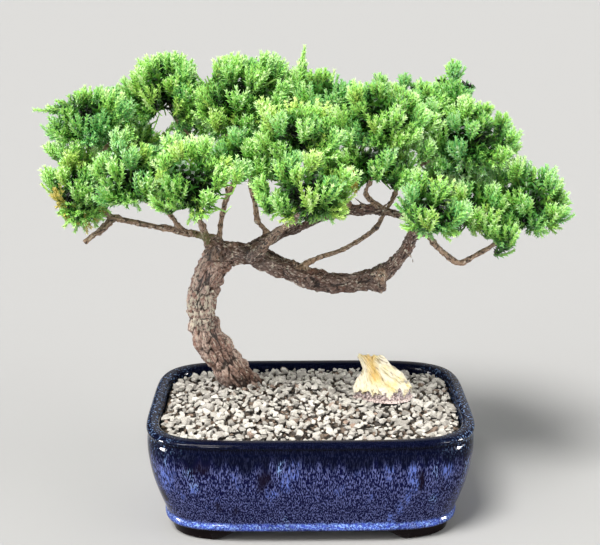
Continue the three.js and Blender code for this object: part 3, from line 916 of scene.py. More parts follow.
    def build(self) -> None:
        """Builds the top dressing and dresses it."""
        rng = np.random.default_rng(self.seed)
        surfaces = [self.bed()]
        for layer in self.layers:
            surfaces += self.stones(rng, *layer)
        mesh = joined(surfaces).mesh("gravel_stones", Shading.FLAT)
        place_piece("gravel_stones", mesh, CrushedStone().make(), Slot.GRAVEL, ["gravel"])


@dataclass(frozen=True)
class JasperFin:
    """Weathered jasper, broken by hand and washed.

    To the eye it is a chalky cream rock with a golden yellow vein down it, fine creases that fan out from
    its peak, and a pitted mauve base with a pale pink edge under its toothed front. Painted shade darkens
    the creases and the deepest pits.
    """

    cream: str = "#e4dcb6"
    white: str = "#eee6d4"
    gold: str = "#dfb14e"
    yellow: str = "#e2d083"
    mauve: str = "#76605f"
    rim: str = "#dccbc8"
    pitted: str = "#3d3033"
    crease_shade: tuple[tuple[float, str], ...] = ((0.3, "#5d5033"), (0.39, "#cfc4a4"), (0.47, "#ffffff"))
    crease_rad: float = 0.05
    crease_run_mm: float = 9.0
    pit_mm: float = 1.6
    patches_per_m: float = 90.0

    def make(self) -> Material:
        """Builds the material.

        Returns:
            The material.
        """
        paint = Paint("jasper_broken_and_weathered")
        vein, lip, edge, ray, away = map(paint.mark, ("vein", "lip", "edge", "ray", "away"))
        fan = paint.add("CombineXYZ", links={0: ray, 1: away}).outputs[0]
        creases = paint.grain((1 / self.crease_rad, 1 / self.crease_run_mm, 1.0), 3.0, fan)
        pits = paint.grain(1 / (self.pit_mm * MM), 3.0)
        patches = paint.grain(self.patches_per_m, 3.0)
        skin = paint.ramp(patches, (0.32, self.yellow), (0.44, self.cream), (0.62, self.white))
        skin = paint.laid(vein, skin, paint.ramp(patches, (0.3, self.gold), (0.7, self.yellow)))
        # Painted shade: the creases are darkened where the relief sinks.
        skin = paint.laid(0.75, skin, paint.ramp(creases, *self.crease_shade), "MULTIPLY")
        # The deepest pits take the darkest colour: painted shade in them.
        base = paint.ramp(pits, (0.36, self.pitted), (0.48, self.mauve), (0.72, self.rim))
        rim = paint.ramp(pits, (0.4, self.mauve), (0.5, self.rim))
        colour = paint.laid(edge, paint.laid(lip, skin, base), rim)
        return paint.finished(colour, {"Roughness": 0.8, "IOR": 1.54}, paint.sum_of(creases, pits), 0.8, 0.5)


@dataclass
class OrnamentalStone:
    """The jagged fin that stands in the gravel. Sizes are in millimetres from the middle of its foot.

    Attributes:
        at: Where it stands.
        foot: The height of its lowest point.
        half_x: Half its width.
        half_y: Half its depth.
        crest: Its top edge, as points across and up: a sharp left peak, a notch and a round hump.
        crest_half: Half the thickness of the top edge.
        peak: Where the ridges fan out from, across and up.
        waist: How far the left side is hollowed under the peak.
        skew: How much less deep the stone is towards its left end.
        tooth: The width of a tooth of the front's lower edge.
        overhang: How far that edge stands out over the base.
        sides: Points round it.
        rings: Points up it.
        sharp_deg: The angle between faces from which an edge shows sharp.
    """

    at: tuple[float, float] = (63.0, 8.0)
    foot: float = 90.2
    half_x: float = 24.5
    half_y: float = 17.0
    crest: tuple[tuple[float, float], ...] = (
        (-24.5, 13), (-23.6, 34), (-22, 38), (-18, 36), (-13.6, 37.2), (-11.2, 34), (-10.6, 32),
        (-9.8, 36.4), (-6, 35.6), (-1, 36.4), (3, 31), (6, 26.5), (11, 23.5), (16, 18.5), (21, 11.5),
        (24.5, 6),
    )
    crest_half: float = 1.4
    peak: tuple[float, float] = (-24.0, 44.0)
    waist: float = 7.6
    skew: float = 0.62
    tooth: float = 7.2
    overhang: float = 2.4
    sides: int = 132
    rings: int = 60
    sharp_deg: float = 38.0

    def point(self, share: float, turn: float) -> tuple[Point, dict[str, float]]:
        """One point of the surface.

        Args:
            share: The share of the way from the foot to the crest.
            turn: The angle round the stone.

        Returns:
            The point and its marks: the vein, the base, its edge, and the ridges' fan as angle and length.
        """
        c, s = math.cos(turn), math.sin(turn)
        across = self.half_x * math.copysign(abs(c) ** 0.8, c)
        top = float(np.interp(across, *np.array(self.crest).T))
        up = share * top
        hollow = self.waist * math.exp(-(((up - 24) / 8.0) ** 2)) * max(0.0, -c)
        x = across - 2.5 * (1 - share) * max(0.0, -c) + hollow
        thick = self.crest_half + (self.half_y - self.crest_half) * (1 - share) ** 0.75
        y = thick * s * (1 - self.skew * max(0.0, -c)) - 2.2 * (1 - share)
        saw = abs((x / self.tooth + 0.5 * noise.noise(Vector((x * 0.2, 3.0, 1.0)))) % 1 - 0.5)
        skirt = 4.2 + 9.0 * saw + 4.0 * noise.noise(Vector((x * 0.13, 4.0, 1.0)))
        is_base, is_edge = s < 0.3 and up < skirt, s < 0.3 and up < 1.7
        if is_base and not is_edge:
            x -= self.overhang * c
            y -= self.overhang * s
        ray = math.atan2(self.peak[1] - up, x - self.peak[0])
        away = math.hypot(self.peak[1] - up, x - self.peak[0])
        ridge = 1 - 2 * abs(noise.noise(Vector((ray * 7.5, away * 0.03, 2.0 + 0.5 * s))))
        fine = 1 - 2 * abs(noise.noise(Vector((ray * 19, away * 0.06, 7.0 + s))))
        pits = noise.fractal(Vector((x, y, up)) * 0.3, 0.9, 2.1, 3)
        lift = (2.3 * (ridge - 0.55) + 1.1 * (fine - 0.55) + 0.7 * pits) * min(1.0, share * 5 + 0.3)
        if is_base:
            lift = 1.3 * pits
        x += lift * 0.5 * c
        y += lift * s
        z = up + (0.7 * pits + 0.7 * (fine - 0.5)) * min(1.0, share * 4)
        bend = (x + 12.5 - 0.36 * (33 - up)) / 5.0
        vein = 0.9 * math.exp(-(bend**4)) * (1 if s < 0.3 else 0) * min(1.0, max(0.0, (up - 11) / 7))
        marks = {"vein": vein, "lip": float(is_base), "edge": float(is_edge), "ray": ray, "away": away}
        return (self.at[0] + x, self.at[1] + y, self.foot + max(0.0, z)), marks

    def build(self) -> None:
        """Builds the stone and dresses it."""
        made = [
            self.point(share, turn)
            for share in np.linspace(0, 1, self.rings)
            for turn in np.linspace(0, 2 * math.pi, self.sides, endpoint=False)
        ]
        bands = [split(loft(self.rings, self.sides))]
        for end, is_top in ((0, False), ((self.rings - 1) * self.sides, True)):
            for k in range(self.sides // 2 - 1):
                a, b, c, d = k, k + 1, self.sides - k - 2, self.sides - k - 1
                pair = [(a, b, c), (a, c, d)] if is_top else [(a, c, b), (a, d, c)]
                bands.append(np.array([f for f in pair if len(set(f)) == 3]) + end)
        surface = Surface(
            np.array([m[0] for m in made]) * MM,
            np.vstack(bands),
            {mark: np.array([m[1][mark] for m in made]) for mark in made[0][1]},
        )
        mesh = surface.mesh("ornamental_fin", Shading.SMOOTH)
        mesh.set_sharp_from_angle(angle=math.radians(self.sharp_deg))
        place_piece("ornamental_fin", mesh, JasperFin().make(), Slot.STONE, ["ornamental_stone"])


# The wood

TRUNK_ROUTE_MM = (
    (-49, 52, 44, 12), (-51, 50, 62, 14.6), (-56, 47, 82, 14.4), (-63.6, 44, 96, 14.2),
    (-77.5, 38, 118, 13.6), (-87, 30, 140, 12.8), (-91, 24, 160, 12.4), (-88.6, 20, 179, 12.2),
    (-83.2, 16, 195.5, 12), (-76.6, 14, 208, 12), (-66, 12, 214.2, 10), (-53.5, 8, 214.9, 8.9),
    (-39, 4, 211, 8.4), (-21, 0, 204.4, 8.5), (-1, -4, 197.2, 8.3), (20, -8, 194.2, 7.7),
    (41, -10, 195.6, 7.7), (56.5, -12, 201, 7.2), (69.5, -16, 213, 5.6), (78, -24, 227.5, 4.8),
    (81, -32, 241.5, 3.9), (84.5, -48, 256, 3),
)
# Points [x, y, z, radius] along each branch, and the spray that it carries, if any
BRANCHES_MM = (
    ("right_low_mid", (
        (-58, 9, 214, 7), (-47, 8, 220.5, 5.4), (-34, 12, 226, 5), (-20, 18, 231.5, 4.9),
        (3, 20, 240.6, 4.6), (19, 18, 246.4, 4.6), (35, 14, 249.3, 4.4), (51, 8, 251, 4.3),
        (65.5, 4, 249.6, 3.3), (76.5, 0, 247.8, 2.9), (97, -4, 250, 2.5), (113, -10, 254, 2),
    )),
    ("centre_front_low", (
        (-47, -2, 213, 5.2), (-43.5, -8, 217, 4.6), (-36, -15, 226, 3.4), (-26.5, -30, 241, 2.9),
        (-17, -48, 251, 2.6), (-10, -68, 263, 2.3),
    )),
    ("centre_front", ((-11.5, -64, 259.5, 2), (-9.5, -67, 285, 1.8))),
    ("centre_mid", (
        (-76, 10, 213, 3.6), (-73.5, 5, 230.5, 2.5), (-71.5, 0, 243.5, 2.1), (-67, -8, 262, 2),
        (-60, -15, 278, 1.9), (-52, -30, 292, 1.7),
    )),
    ("centre_left_top", ((-61, -13, 275, 1.9), (-57, -8, 307, 1.7))),
    ("left_dome", ((-64, -11, 270, 1.8), (-83.5, 3, 300, 1.7), (-105, 12, 324, 1.6))),
    ("back_centre", (
        (-33, 14, 226, 2.8), (-37, 14, 234, 2.3), (-42, 12, 241, 2.1), (-44, 10, 254.5, 1.9),
        (-47.5, 16, 270, 1.9), (-39, 48, 290, 1.8),
    )),
    ("back_centre_left", ((-46, 19, 271, 1.8), (-61.5, 50, 297, 1.8))),
    ("far_left_upper", (
        (-67, 10, 216, 5.4), (-80, 2, 229.6, 3.6), (-98, -6, 235.3, 2.9), (-113, -10, 240.2, 2.7),
        (-128, -12, 243.4, 2.6), (-140.5, -12, 246.2, 2.5), (-157.5, -14, 251, 2.4),
        (-164.5, -14, 255, 2.3), (-169, -12, 265, 2.1), (-172.5, -9, 288, 1.8), (-174, -8, 310, 1.6),
    )),
    (None, (
        (-156.5, -13.5, 250, 2.4), (-166, -18, 241, 3.0), (-172, -21, 237.5, 2.1),
        (-178.5, -24, 232.5, 2.2),
    )),
    (None, ((-163, -14, 253, 2.1), (-158.5, -24, 267.5, 1.8), (-149, -42, 280, 1.3))),
    ("far_left_lower", ((-168.5, -12, 263, 1.9), (-176, -18, 268, 1.7))),
    ("back_left", ((-172, -10, 284, 1.9), (-168.5, 30, 298, 1.7))),
    ("left_front", (
        (-100, -6, 236, 2.7), (-105.5, -10, 242.5, 2.1), (-111, -18, 254, 1.9), (-117.5, -26, 262, 1.8),
        (-125.5, -38, 268, 1.7),
    )),
    ("centre_left_low", (
        (-82, 5, 222, 3.6), (-85.5, -12, 241, 2.5), (-87, -32, 253.5, 2.3), (-87.5, -56, 270, 2),
    )),
    ("right_shoulder", (
        (-13, -2, 203, 3.2), (7, 0, 213.2, 2.1), (26, 6, 217.7, 2), (42, 12, 225.2, 2),
        (55.5, 18, 234.4, 1.9), (63.5, 22, 247, 1.9), (69.5, 22, 258, 1.9), (74.5, 18, 271.5, 1.8),
        (93.5, 6, 290.5, 1.8),
    )),
    ("right_spire", ((94, 5.5, 290.5, 1.7), (109, 10, 322, 1.5))),
    ("right_knoll", ((91, 7.5, 288.5, 1.7), (91, 2, 305, 1.5), (89, -4, 325, 1.4))),
    ("right_mid", ((72.5, 19.5, 266, 1.9), (68, 20, 285, 1.7), (67.5, 21, 308, 1.6))),
    ("back_right", ((74, 18.5, 269, 1.9), (75, 50, 287, 1.8))),
    ("back_far_right", ((75.5, 18, 272, 1.8), (106, 46, 268.5, 1.8))),
    ("centre_top", ((35, 14, 251, 3), (27, 10, 264, 2.3), (18.5, 8, 296, 1.9))),
    ("right_centre", (
        (57, 6, 254, 2.9), (45.5, -8, 266.5, 2.1), (47.5, -32, 284, 1.8), (49.5, -49, 299, 1.6),
    )),
    ("far_right", (
        (80.5, -29, 237, 4), (90, -28, 239.5, 2.8), (101, -24, 228, 2.5), (114.5, -20, 215.5, 2.3),
        (120.5, -20, 213, 2.1), (131.5, -19, 218.5, 1.9), (147.5, -18, 228, 1.8), (158, -17, 243, 1.7),
    )),
    ("far_right_tip", ((147.5, -18.5, 228, 1.8), (151.5, -24, 231, 1.6))),
)
# Dead stubs and knots that stand out of the bark: [x, y, z, radius] from root to tip
SNAGS_MM = (
    ((79, -27, 222, 1.1), (82, -29, 216, 0.7), (80.5, -30, 210, 0.6)),
    ((28, 14, 250, 1.2), (25, 12, 257, 0.9), (21, 10, 261, 0.6)),
    ((8, 18, 243, 1.0), (5, 16, 250, 0.6)),
    ((44, 8, 255, 1.2), (37, 2, 262, 0.9), (31, -3, 266, 0.6)),
    ((60, 4, 254, 1.4), (68, 2, 262, 1.0), (70, 0, 271, 0.7)),
    ((84, -30, 243, 1.1), (74, -34, 243, 0.5)),
    ((54, -16, 207, 3.6), (60, -21, 198, 3.0)),
    ((50, -13, 194, 5.4), (57, -16, 193.5, 4.9), (60.5, -17, 193.5, 3.6), (62, -17.5, 193.5, 1.6)),
    ((-44, 3, 214, 5.4), (-41, -6, 217.5, 4.2)),
)


@dataclass(frozen=True)
class JuniperBark:
    """Living juniper bark, grown in flaking plates.

    To the eye it is dry and grey brown: long fibrous plates with darker fissures between them, reddish
    brown where a plate has just flaked off, pale lichen on old wood, and warmer tan young twigs. Its
    fissures, grooves and crumb hollows are darkened partly by painted shade, its raised flecks are partly
    painted highlights, and a painted shadow darkens the trunk towards its foot.
    """

    fissure_and_shadow: str = "#241a16"
    brown: str = "#7c5848"
    grey: str = "#bd9a8c"
    pale: str = "#ead5c8"
    shaded: str = "#5a4439"
    fleck_and_highlight: str = "#efe0d2"
    red: str = "#96604a"
    lichen: str = "#e6dfcd"
    moss: str = "#6d7a3c"
    twig: str = "#c8a88c"
    groove_shade: str = "#45342c"
    fibre_mm: float = 0.8
    fibre_run_mm: float = 9.0
    crumbs_per_mm: Point = (0.36, 0.72, 0.72)
    patches_per_m: float = 60.0
    spots_per_m: float = 210.0

    def make(self) -> Material:
        """Builds the material.

        Returns:
            The material.
        """
        paint = Paint("juniper_bark_flaking")
        step = paint.step
        plate, girth, tone, moss, aged = map(paint.mark, ("plate", "girth", "tone", "moss", "lichen"))
        grown = paint.mark("grown", "Vector")
        height = paint.add("SeparateXYZ", links={0: paint.place}).outputs["Z"]
        across, along = 1 / self.fibre_mm, 1 / self.fibre_run_mm
        fibre = paint.grain((along, across, across), 4.0, grown)
        crumbs = paint.grain(self.crumbs_per_mm, 4.0, grown)
        patches, spots = (paint.grain(scale, 4.0) for scale in (self.patches_per_m, self.spots_per_m))
        crust = step(paint.sum_of(spots, aged, 0.16), 0.6, 0.7, 0.9)
        colour = paint.ramp(tone, (0.0, self.brown), (0.55, self.grey), (1.0, self.pale))
        for fraction, over in (
            (step(girth, 0.88, 0.62, 0.74), self.shaded),
            (step(patches, 0.56, 0.68, 0.32), self.red),
            (step(girth, 0.34, 0.17, 0.8), self.twig),
            # Painted shade: the bark is darker in the grooves between fibres and, on the next line, in the
            # hollows between crumbs.
            (step(fibre, 0.5, 0.36, 0.7), self.groove_shade),
            (step(crumbs, 0.46, 0.35, 0.66), self.fissure_and_shadow),
            # Pale flecks on the raised crumbs: partly pale flakes of bark, partly a painted highlight.
            (step(crumbs, 0.56, 0.66, 0.6), self.fleck_and_highlight),
            (paint.product(crust, step(crumbs, 0.4, 0.5)), self.lichen),
            # The plates' dark edges are partly the fissures' own bark and partly painted shade in them.
            (step(plate, 0.34, 0.08, 0.92), self.fissure_and_shadow),
            # Painted shadow: the trunk darkens towards its foot in the gravel.
            (step(height, 114 * MM, 90 * MM, 0.55), self.fissure_and_shadow),
            (moss, self.moss),
        ):
            colour = paint.laid(fraction, colour, over)
        shine = {"Roughness": 0.88, "IOR": 1.45, "Specular IOR Level": 0.15}
        return paint.finished(colour, shine, paint.sum_of(fibre, crumbs), 1.0, 0.9)


@dataclass
class Wood:
    """Trunk, branches and twigs as one grown piece. Sizes are in millimetres.

    The seed is for the warp of the bark's plates, which Blender would draw by the clock without one.
    """

    sprays: dict[str, "Spray"]
    voxel: float = 1.2
    twig_end_radius: float = 1.4
    plate_length: float = 19.0
    plate_width: float = 6.0
    relief: float = 0.2
    slant: float = 0.7
    warp: float = 0.75
    warps_per_plate: float = 0.9
    fissure_slope: float = 2.8
    fibre_run: float = 12.0
    fibre_width: float = 1.9
    knob_run: float = 4.2
    rough_per_mm: float = 0.36
    lumps_per_mm: float = 0.08
    lumps: float = 2.6
    knobs: float = 1.1
    stoutest: float = 13.0
    moss_at: Point = (-85.0, -6.0, 231.0)
    moss_reach: float = 10.0
    lichen_at: Point = (-88.0, 12.0, 163.0)
    lichen_reach: float = 27.0
    stem_step: float = 1.6
    snag_step: float = 1.2
    side_width: float = 1.3
    stems_apart: float = 300.0
    seed: int = 5

    def routes(self) -> list[np.ndarray]:
        """Draws every stem, run on into the spray that it carries.

        Returns:
            Rows of x, y, z and radius along each stem.
        """
        branches = [("right_front_low", TRUNK_ROUTE_MM), *BRANCHES_MM]
        found = []
        for carried, points in branches:
            rows = [np.array(p, float) for p in points]
            if carried:
                rows.append(np.array([*self.sprays[carried].twig_end(), self.twig_end_radius]))
            found.append(spline(np.array(rows), self.stem_step))
        return found + [spline(np.array(points, float), self.snag_step) for points in SNAGS_MM]

    def tube(self, route: np.ndarray, normals: np.ndarray) -> Surface:
        """A round tube along a route.

        Args:
            route: Rows of x, y, z and radius.
            normals: A vector across the route at each row.

        Returns:
            The closed tube, in metres.
        """
        sides = max(8, min(28, round(2 * math.pi * route[:, 3].max() / self.side_width)))
        tangents = unit(np.gradient(route[:, :3], axis=0))
        across = np.cross(tangents, normals)
        turn = np.linspace(0, 2 * math.pi, sides, endpoint=False)
        rings = route[:, None, :3] + route[:, None, 3:4] * (
            normals[:, None] * np.cos(turn)[:, None] + across[:, None] * np.sin(turn)[:, None]
        )
        count = len(route)
        points = np.vstack([rings.reshape(-1, 3), route[:1, :3], route[-1:, :3]]) * MM
        side = np.arange(sides)
        following = (side + 1) % sides
        first, top = count * sides, (count - 1) * sides
        ends = [
            np.stack([np.full(sides, first), following, side], 1),
            np.stack([np.full(sides, first + 1), top + side, top + following], 1),
        ]
        return Surface(points, np.vstack([split(loft(count, sides)), *ends]))

    def normals(self, route: np.ndarray) -> np.ndarray:
        """Finds vectors across a route that turn as little as they can along it.

        Args:
            route: Rows of x, y, z and radius.

        Returns:
            A unit vector for each row.
        """
        tangents = unit(np.gradient(route[:, :3], axis=0))
        across = np.array([0.31, 1.0, 0.17])
        found = []
        for tangent in tangents:
            across = across - tangent * (across @ tangent)
            across = across / np.linalg.norm(across)
            found.append(across)
        return np.array(found)

    def fused(self, routes: list[np.ndarray]) -> bpy.types.Mesh:
        """All stems grown together in one skin.

        Args:
            routes: Every stem's rows.

        Returns:
            The skin, still smooth.
        """
        tubes = joined([self.tube(route, self.normals(route)) for route in routes])
        blank = place_object("wood_blank", tubes.mesh("wood_blank", Shading.SMOOTH))
        remesh = blank.modifiers.new("grow_together", "REMESH")
        remesh.mode = "VOXEL"
        remesh.voxel_size = self.voxel * MM
        soften = blank.modifiers.new("soften", "SMOOTH")
        soften.factor = 0.4
        soften.iterations = 2
        apply_modifiers(blank)
        mesh = blank.data.copy()
        bpy.data.objects.remove(blank)
        return mesh

    def build(self) -> None:
        """Builds the wood, raises its bark and dresses it."""
        routes = self.routes()
        mesh = self.fused(routes)
        rows = np.vstack(routes)
        normals = np.vstack([self.normals(route) for route in routes])
        tangents = np.vstack([unit(np.gradient(route[:, :3], axis=0)) for route in routes])
        steps = [np.linalg.norm(np.diff(route[:, :3], axis=0), axis=1) for route in routes]
        lengths = [np.concatenate([[0], np.cumsum(step)]) for step in steps]
        along = np.concatenate([length + self.stems_apart * k for k, length in enumerate(lengths)])
        tree = kdtree.KDTree(len(rows))
        for i, row in enumerate(rows):
            tree.insert(row[:3] * MM, i)
        tree.balance()
        count = len(mesh.vertices)
        places = np.empty(count * 3)
        mesh.vertices.foreach_get("co", places)
        places = places.reshape(-1, 3)
        outward = np.array([v.normal[:] for v in mesh.vertices])
        marks = {name: np.zeros(count) for name in ("plate", "tone", "girth", "moss", "lichen")}
        grown = np.empty((count, 3))
        moved = places.copy()
        noise.seed_set(self.seed)
        for i, place in enumerate(places):
            near = min(tree.find_n(place, 5), key=lambda hit: hit[2] - rows[hit[1], 3] * MM)[1]
            offset = place / MM - rows[near, :3]
            radius = rows[near, 3]
            side = math.atan2(offset @ np.cross(tangents[near], normals[near]), offset @ normals[near])
            girth = min(1.0, radius / self.stoutest)
            s, u, v = along[near] + offset @ tangents[near], math.cos(side) * radius, math.sin(side) * radius
            grown[i] = s, u, v
            coarse = 0.4 + 0.6 * girth
            slanted = (s + self.slant * v) / self.plate_length
            cell = np.array([slanted, u / self.plate_width, v / self.plate_width]) / coarse
            warp = noise.noise_vector(Vector(cell * self.warps_per_plate)) * self.warp
            distances, cells = noise.voronoi(Vector(cell) + warp)
            edge = min(1.0, (distances[1] - distances[0]) * self.fissure_slope)
            rough = noise.fractal(Vector(place / MM * self.rough_per_mm), 0.8, 2.2, 4)
            fibre = noise.noise(Vector((s / self.fibre_run, u / self.fibre_width, v / self.fibre_width)))
            marks["plate"][i] = edge
            marks["tone"][i] = np.clip(0.5 + 0.32 * noise.cell(cells[0] * 3.1) + 0.3 * rough, 0, 1)
            marks["girth"][i] = girth
            tuft = 1 - np.linalg.norm(place / MM - self.moss_at) / self.moss_reach
            marks["moss"][i] = np.clip(2.4 * tuft + 2 * rough - 0.4, 0, 0.6) * (tuft > 0)
            patch = 1 - np.linalg.norm(place / MM - self.lichen_at) / self.lichen_reach
            marks["lichen"][i] = np.clip(2 * patch, 0, 1)
            lump = noise.noise(Vector(place / MM * self.lumps_per_mm + 3))
            lift = radius * self.relief * (edge - 0.6) + (0.78 * rough + 0.6 * fibre) * (0.4 + 0.8 * girth)
            lift += self.lumps * girth**0.6 * lump
            node = max(0.0, noise.noise(Vector((s / self.knob_run, 0.25 * u, 5.0))) - 0.05)
            lift += self.knobs * radius * node * max(0.0, 1 - 2.2 * girth)
            moved[i] = place + outward[i] * lift * MM
        mesh.vertices.foreach_set("co", moved.ravel())
        for name, values in marks.items():
            mesh.attributes.new(name, "FLOAT", "POINT").data.foreach_set("value", values)
        mesh.attributes.new("grown", "FLOAT_VECTOR", "POINT").data.foreach_set("vector", grown.ravel())
        mesh.update()
        mesh.shade_smooth()
        place_piece("living_wood", mesh, JuniperBark().make(), Slot.BARK, ["trunk_and_branches"])


# The foliage

EYE_MM = (-13.1, -990.7, 457.3)
# Gaps that are seen through the crown from there: x, z, half width and half height where y is 0
GAPS_MM = (
    (-82, 367, 6.8, 13), (-116.5, 330.5, 9.5, 12.5), (-57.5, 260, 14.5, 17), (-106, 250, 10, 7),
    (63, 268.5, 8, 8), (34, 367, 9, 8),
)


@dataclass(frozen=True)
class JuniperNeedles:
    """Fresh juniper needles, grown in whorls of three.

    To the eye they are bright yellow green at the young tips and darker olive inside the spray, some
    plumes bluer than others, with pale yellow green stems and a faint waxy sheen. The darkness inside a
    spray is partly older needles and partly painted shade, and the palest tips are partly a painted
    highlight.
    """

    inner: str = "#081802"
    older: str = "#3d8020"
    fresh: str = "#9fe96c"
    tip: str = "#e2ffc4"
    blue: str = "#62bd7d"
    yellow: str = "#cde46c"
    dead: str = "#c9b25c"
    stem: str = "#a9b95e"

    def make(self) -> Material:
        """Builds the material. The last four colours take less on old needles than on young ones.

        Returns:
            The material.
        """
        paint = Paint("juniper_needles_grown")
        youth, tint, stem, dead = map(paint.mark, ("youth", "tint", "stem", "dead"))
        # From the darkest inside colour to the palest tip: partly the needles' age, partly painted shade
        # inside the spray and a painted highlight on the tips.
        leaf = ((0.0, self.inner), (0.35, self.older), (0.72, self.fresh), (1.0, self.tip))
        colour, young = paint.ramp(youth, *leaf), paint.step(youth, 0.12, 0.5)
        for mark, start, end, high, over in (
            (tint, 0.46, 0.92, 0.62, self.blue),
            (tint, 0.3, 0.02, 0.55, self.yellow),
            (stem, 0.5, 1.0, 0.45, self.stem),
            (dead, 0.4, 0.8, 0.85, self.dead),
        ):
            colour = paint.laid(paint.product(paint.step(mark, start, end, high), young), colour, over)
        return paint.finished(colour, {"Roughness": 0.5, "IOR": 1.42, "Specular IOR Level": 0.2})


def curve(
    roots: np.ndarray, bends: np.ndarray, tips: np.ndarray, t: np.ndarray
) -> tuple[np.ndarray, np.ndarray]:
    """Follows quadratic curves.

    Args:
        roots: Where each curve starts.
        bends: The place that each curve bends towards.
        tips: Where each curve ends.
        t: Shares of the way along, with a row for each curve or one row for all.

    Returns:
        The places and the unit tangents, with a row for each curve and a column for each t.
    """
    a, b, c = (p[:, None] for p in (roots, bends, tips))
    t = t[..., None]
    places = (1 - t) ** 2 * a + 2 * t * (1 - t) * b + t**2 * c
    return places, unit(2 * (1 - t) * (b - a) + 2 * t * (c - b))


@dataclass
class Shoots:
    """Leafy shoots, with one row of each array for a shoot. Sizes are in millimetres."""

    root: np.ndarray
    bend: np.ndarray
    tip: np.ndarray
    youth: np.ndarray
    tint: np.ndarray
    dead: np.ndarray
    girth: float = 0.85
    needle: float = 4.1
    internode: float = 1.95
    most_whorls: int = 12
    open_deg: tuple[float, float] = (33.0, 23.0)

    def grown(self, rng: np.random.Generator) -> Surface:
        """Grows every shoot: a three-sided stem whose faces are raised into needles, three to a whorl.

        Args:
            rng: The source of random numbers.

        Returns:
            All shoots in one surface, in metres.
        """
        lengths = np.linalg.norm(self.tip - self.root, axis=1)
        whorls = np.clip(np.round(lengths / self.internode - 0.6), 3, self.most_whorls).astype(int)
        kinds = np.unique(whorls)
        return joined([self.grown_alike(np.flatnonzero(whorls == w), int(w), rng) for w in kinds])

    def grown_alike(self, rows: np.ndarray, whorls: int, rng: np.random.Generator) -> Surface:
        """Grows the shoots that have equally many whorls.

        Args:
            rows: Which shoots.
            whorls: Their number of whorls.
            rng: The source of random numbers.

        Returns:
            The shoots.
        """
        count = len(rows)
        t = np.arange(whorls + 1) / (whorls + 0.75)
        centre, tangent = curve(self.root[rows], self.bend[rows], self.tip[rows], t[None])
        across = unit(np.cross(tangent, rng.normal(size=(count, 1, 3))))
        up = np.cross(tangent, across)
        third = 2 * math.pi / 3

        def turned(angle: np.ndarray) -> np.ndarray:
            """Directions away from the stems at angles given for each whorl and corner."""
            angle = angle[None, :, :, None]
            return across[:, :, None] * np.cos(angle) + up[:, :, None] * np.sin(angle)

        ring, corner = np.arange(whorls + 1)[:, None], np.arange(3)
        stem_radius = self.girth * (1 - 0.45 * t)[None, :, None, None]
        stems = centre[:, :, None] + stem_radius * turned((corner + ring / 2) * third)
        outward = turned((corner + (ring + 1) / 2) * third)[:, :-1]
        shape = (count, whorls, 3, 1)
        low, high = np.radians(self.open_deg)
        openness = (low + (high - low) * t[:-1])[None, :, None, None] + rng.normal(0, 0.12, shape)
        reach = self.needle * (1 - 0.12 * t[:-1])[None, :, None, None] * rng.uniform(0.78, 1.16, shape)
        needles = (
            centre[:, :-1, None]
            + stem_radius[:, :-1] * outward
            + reach * (np.sin(openness) * outward + np.cos(openness) * tangent[:, :-1, None])
        )
        points = np.concatenate(
            [stems.reshape(count, -1, 3), needles.reshape(count, -1, 3), self.tip[rows][:, None]], 1
        )
        faces = [(0, 2, 1)]
        for r in range(whorls):
            for k in range(3):
                a, b = 3 * r + k, 3 * r + (k + 1) % 3
                top, top_next, needle = a + 3, b + 3, 3 * (whorls + 1) + 3 * r + k
                faces += [(a, b, needle), (b, top, needle), (top, a, needle), (top, b, top_next)]
        last, tip_index = 3 * whorls, 6 * whorls + 3
        faces += [(last + k, last + (k + 1) % 3, tip_index) for k in range(3)]
        index = np.array(faces)[None] + (np.arange(count) * points.shape[1])[:, None, None]
        rise = np.concatenate([np.repeat(t, 3) - 0.22, np.repeat(t[:-1], 3) + 0.16, [1.0]])[None]
        youth = self.youth[rows][:, None] + 0.6 * (rise - 0.62) + rng.normal(0, 0.04, (count, rise.shape[1]))
        is_stem = np.concatenate([np.ones(3 * (whorls + 1)), np.zeros(3 * whorls), [0.2]])[None]
        marks = {
            "youth": np.clip(youth, 0, 1),
            "tint": np.broadcast_to(self.tint[rows][:, None], youth.shape),
            "stem": np.broadcast_to(is_stem, youth.shape),
            "dead": np.broadcast_to(self.dead[rows][:, None], youth.shape),
        }
        return Surface(
            points.reshape(-1, 3) * MM, index.reshape(-1, 3), {m: v.reshape(-1) for m, v in marks.items()}
        )


def is_clear_of_gaps(places: np.ndarray) -> np.ndarray:
    """Tells which places leave the crown's see-through gaps open.

    Args:
        places: Rows of x, y and z in millimetres.

    Returns:
        Whether each place lies outside every gap, as seen from the front.
    """
    eye = np.array(EYE_MM)
    seen = eye - (places - eye) * (eye[1] / (places[:, 1:2] - eye[1]))
    is_clear = np.ones(len(places), bool)
    for x, z, half_width, half_height in GAPS_MM:
        is_clear &= np.hypot((seen[:, 0] - x) / half_width, (seen[:, 2] - z) / half_height) > 1
    return is_clear


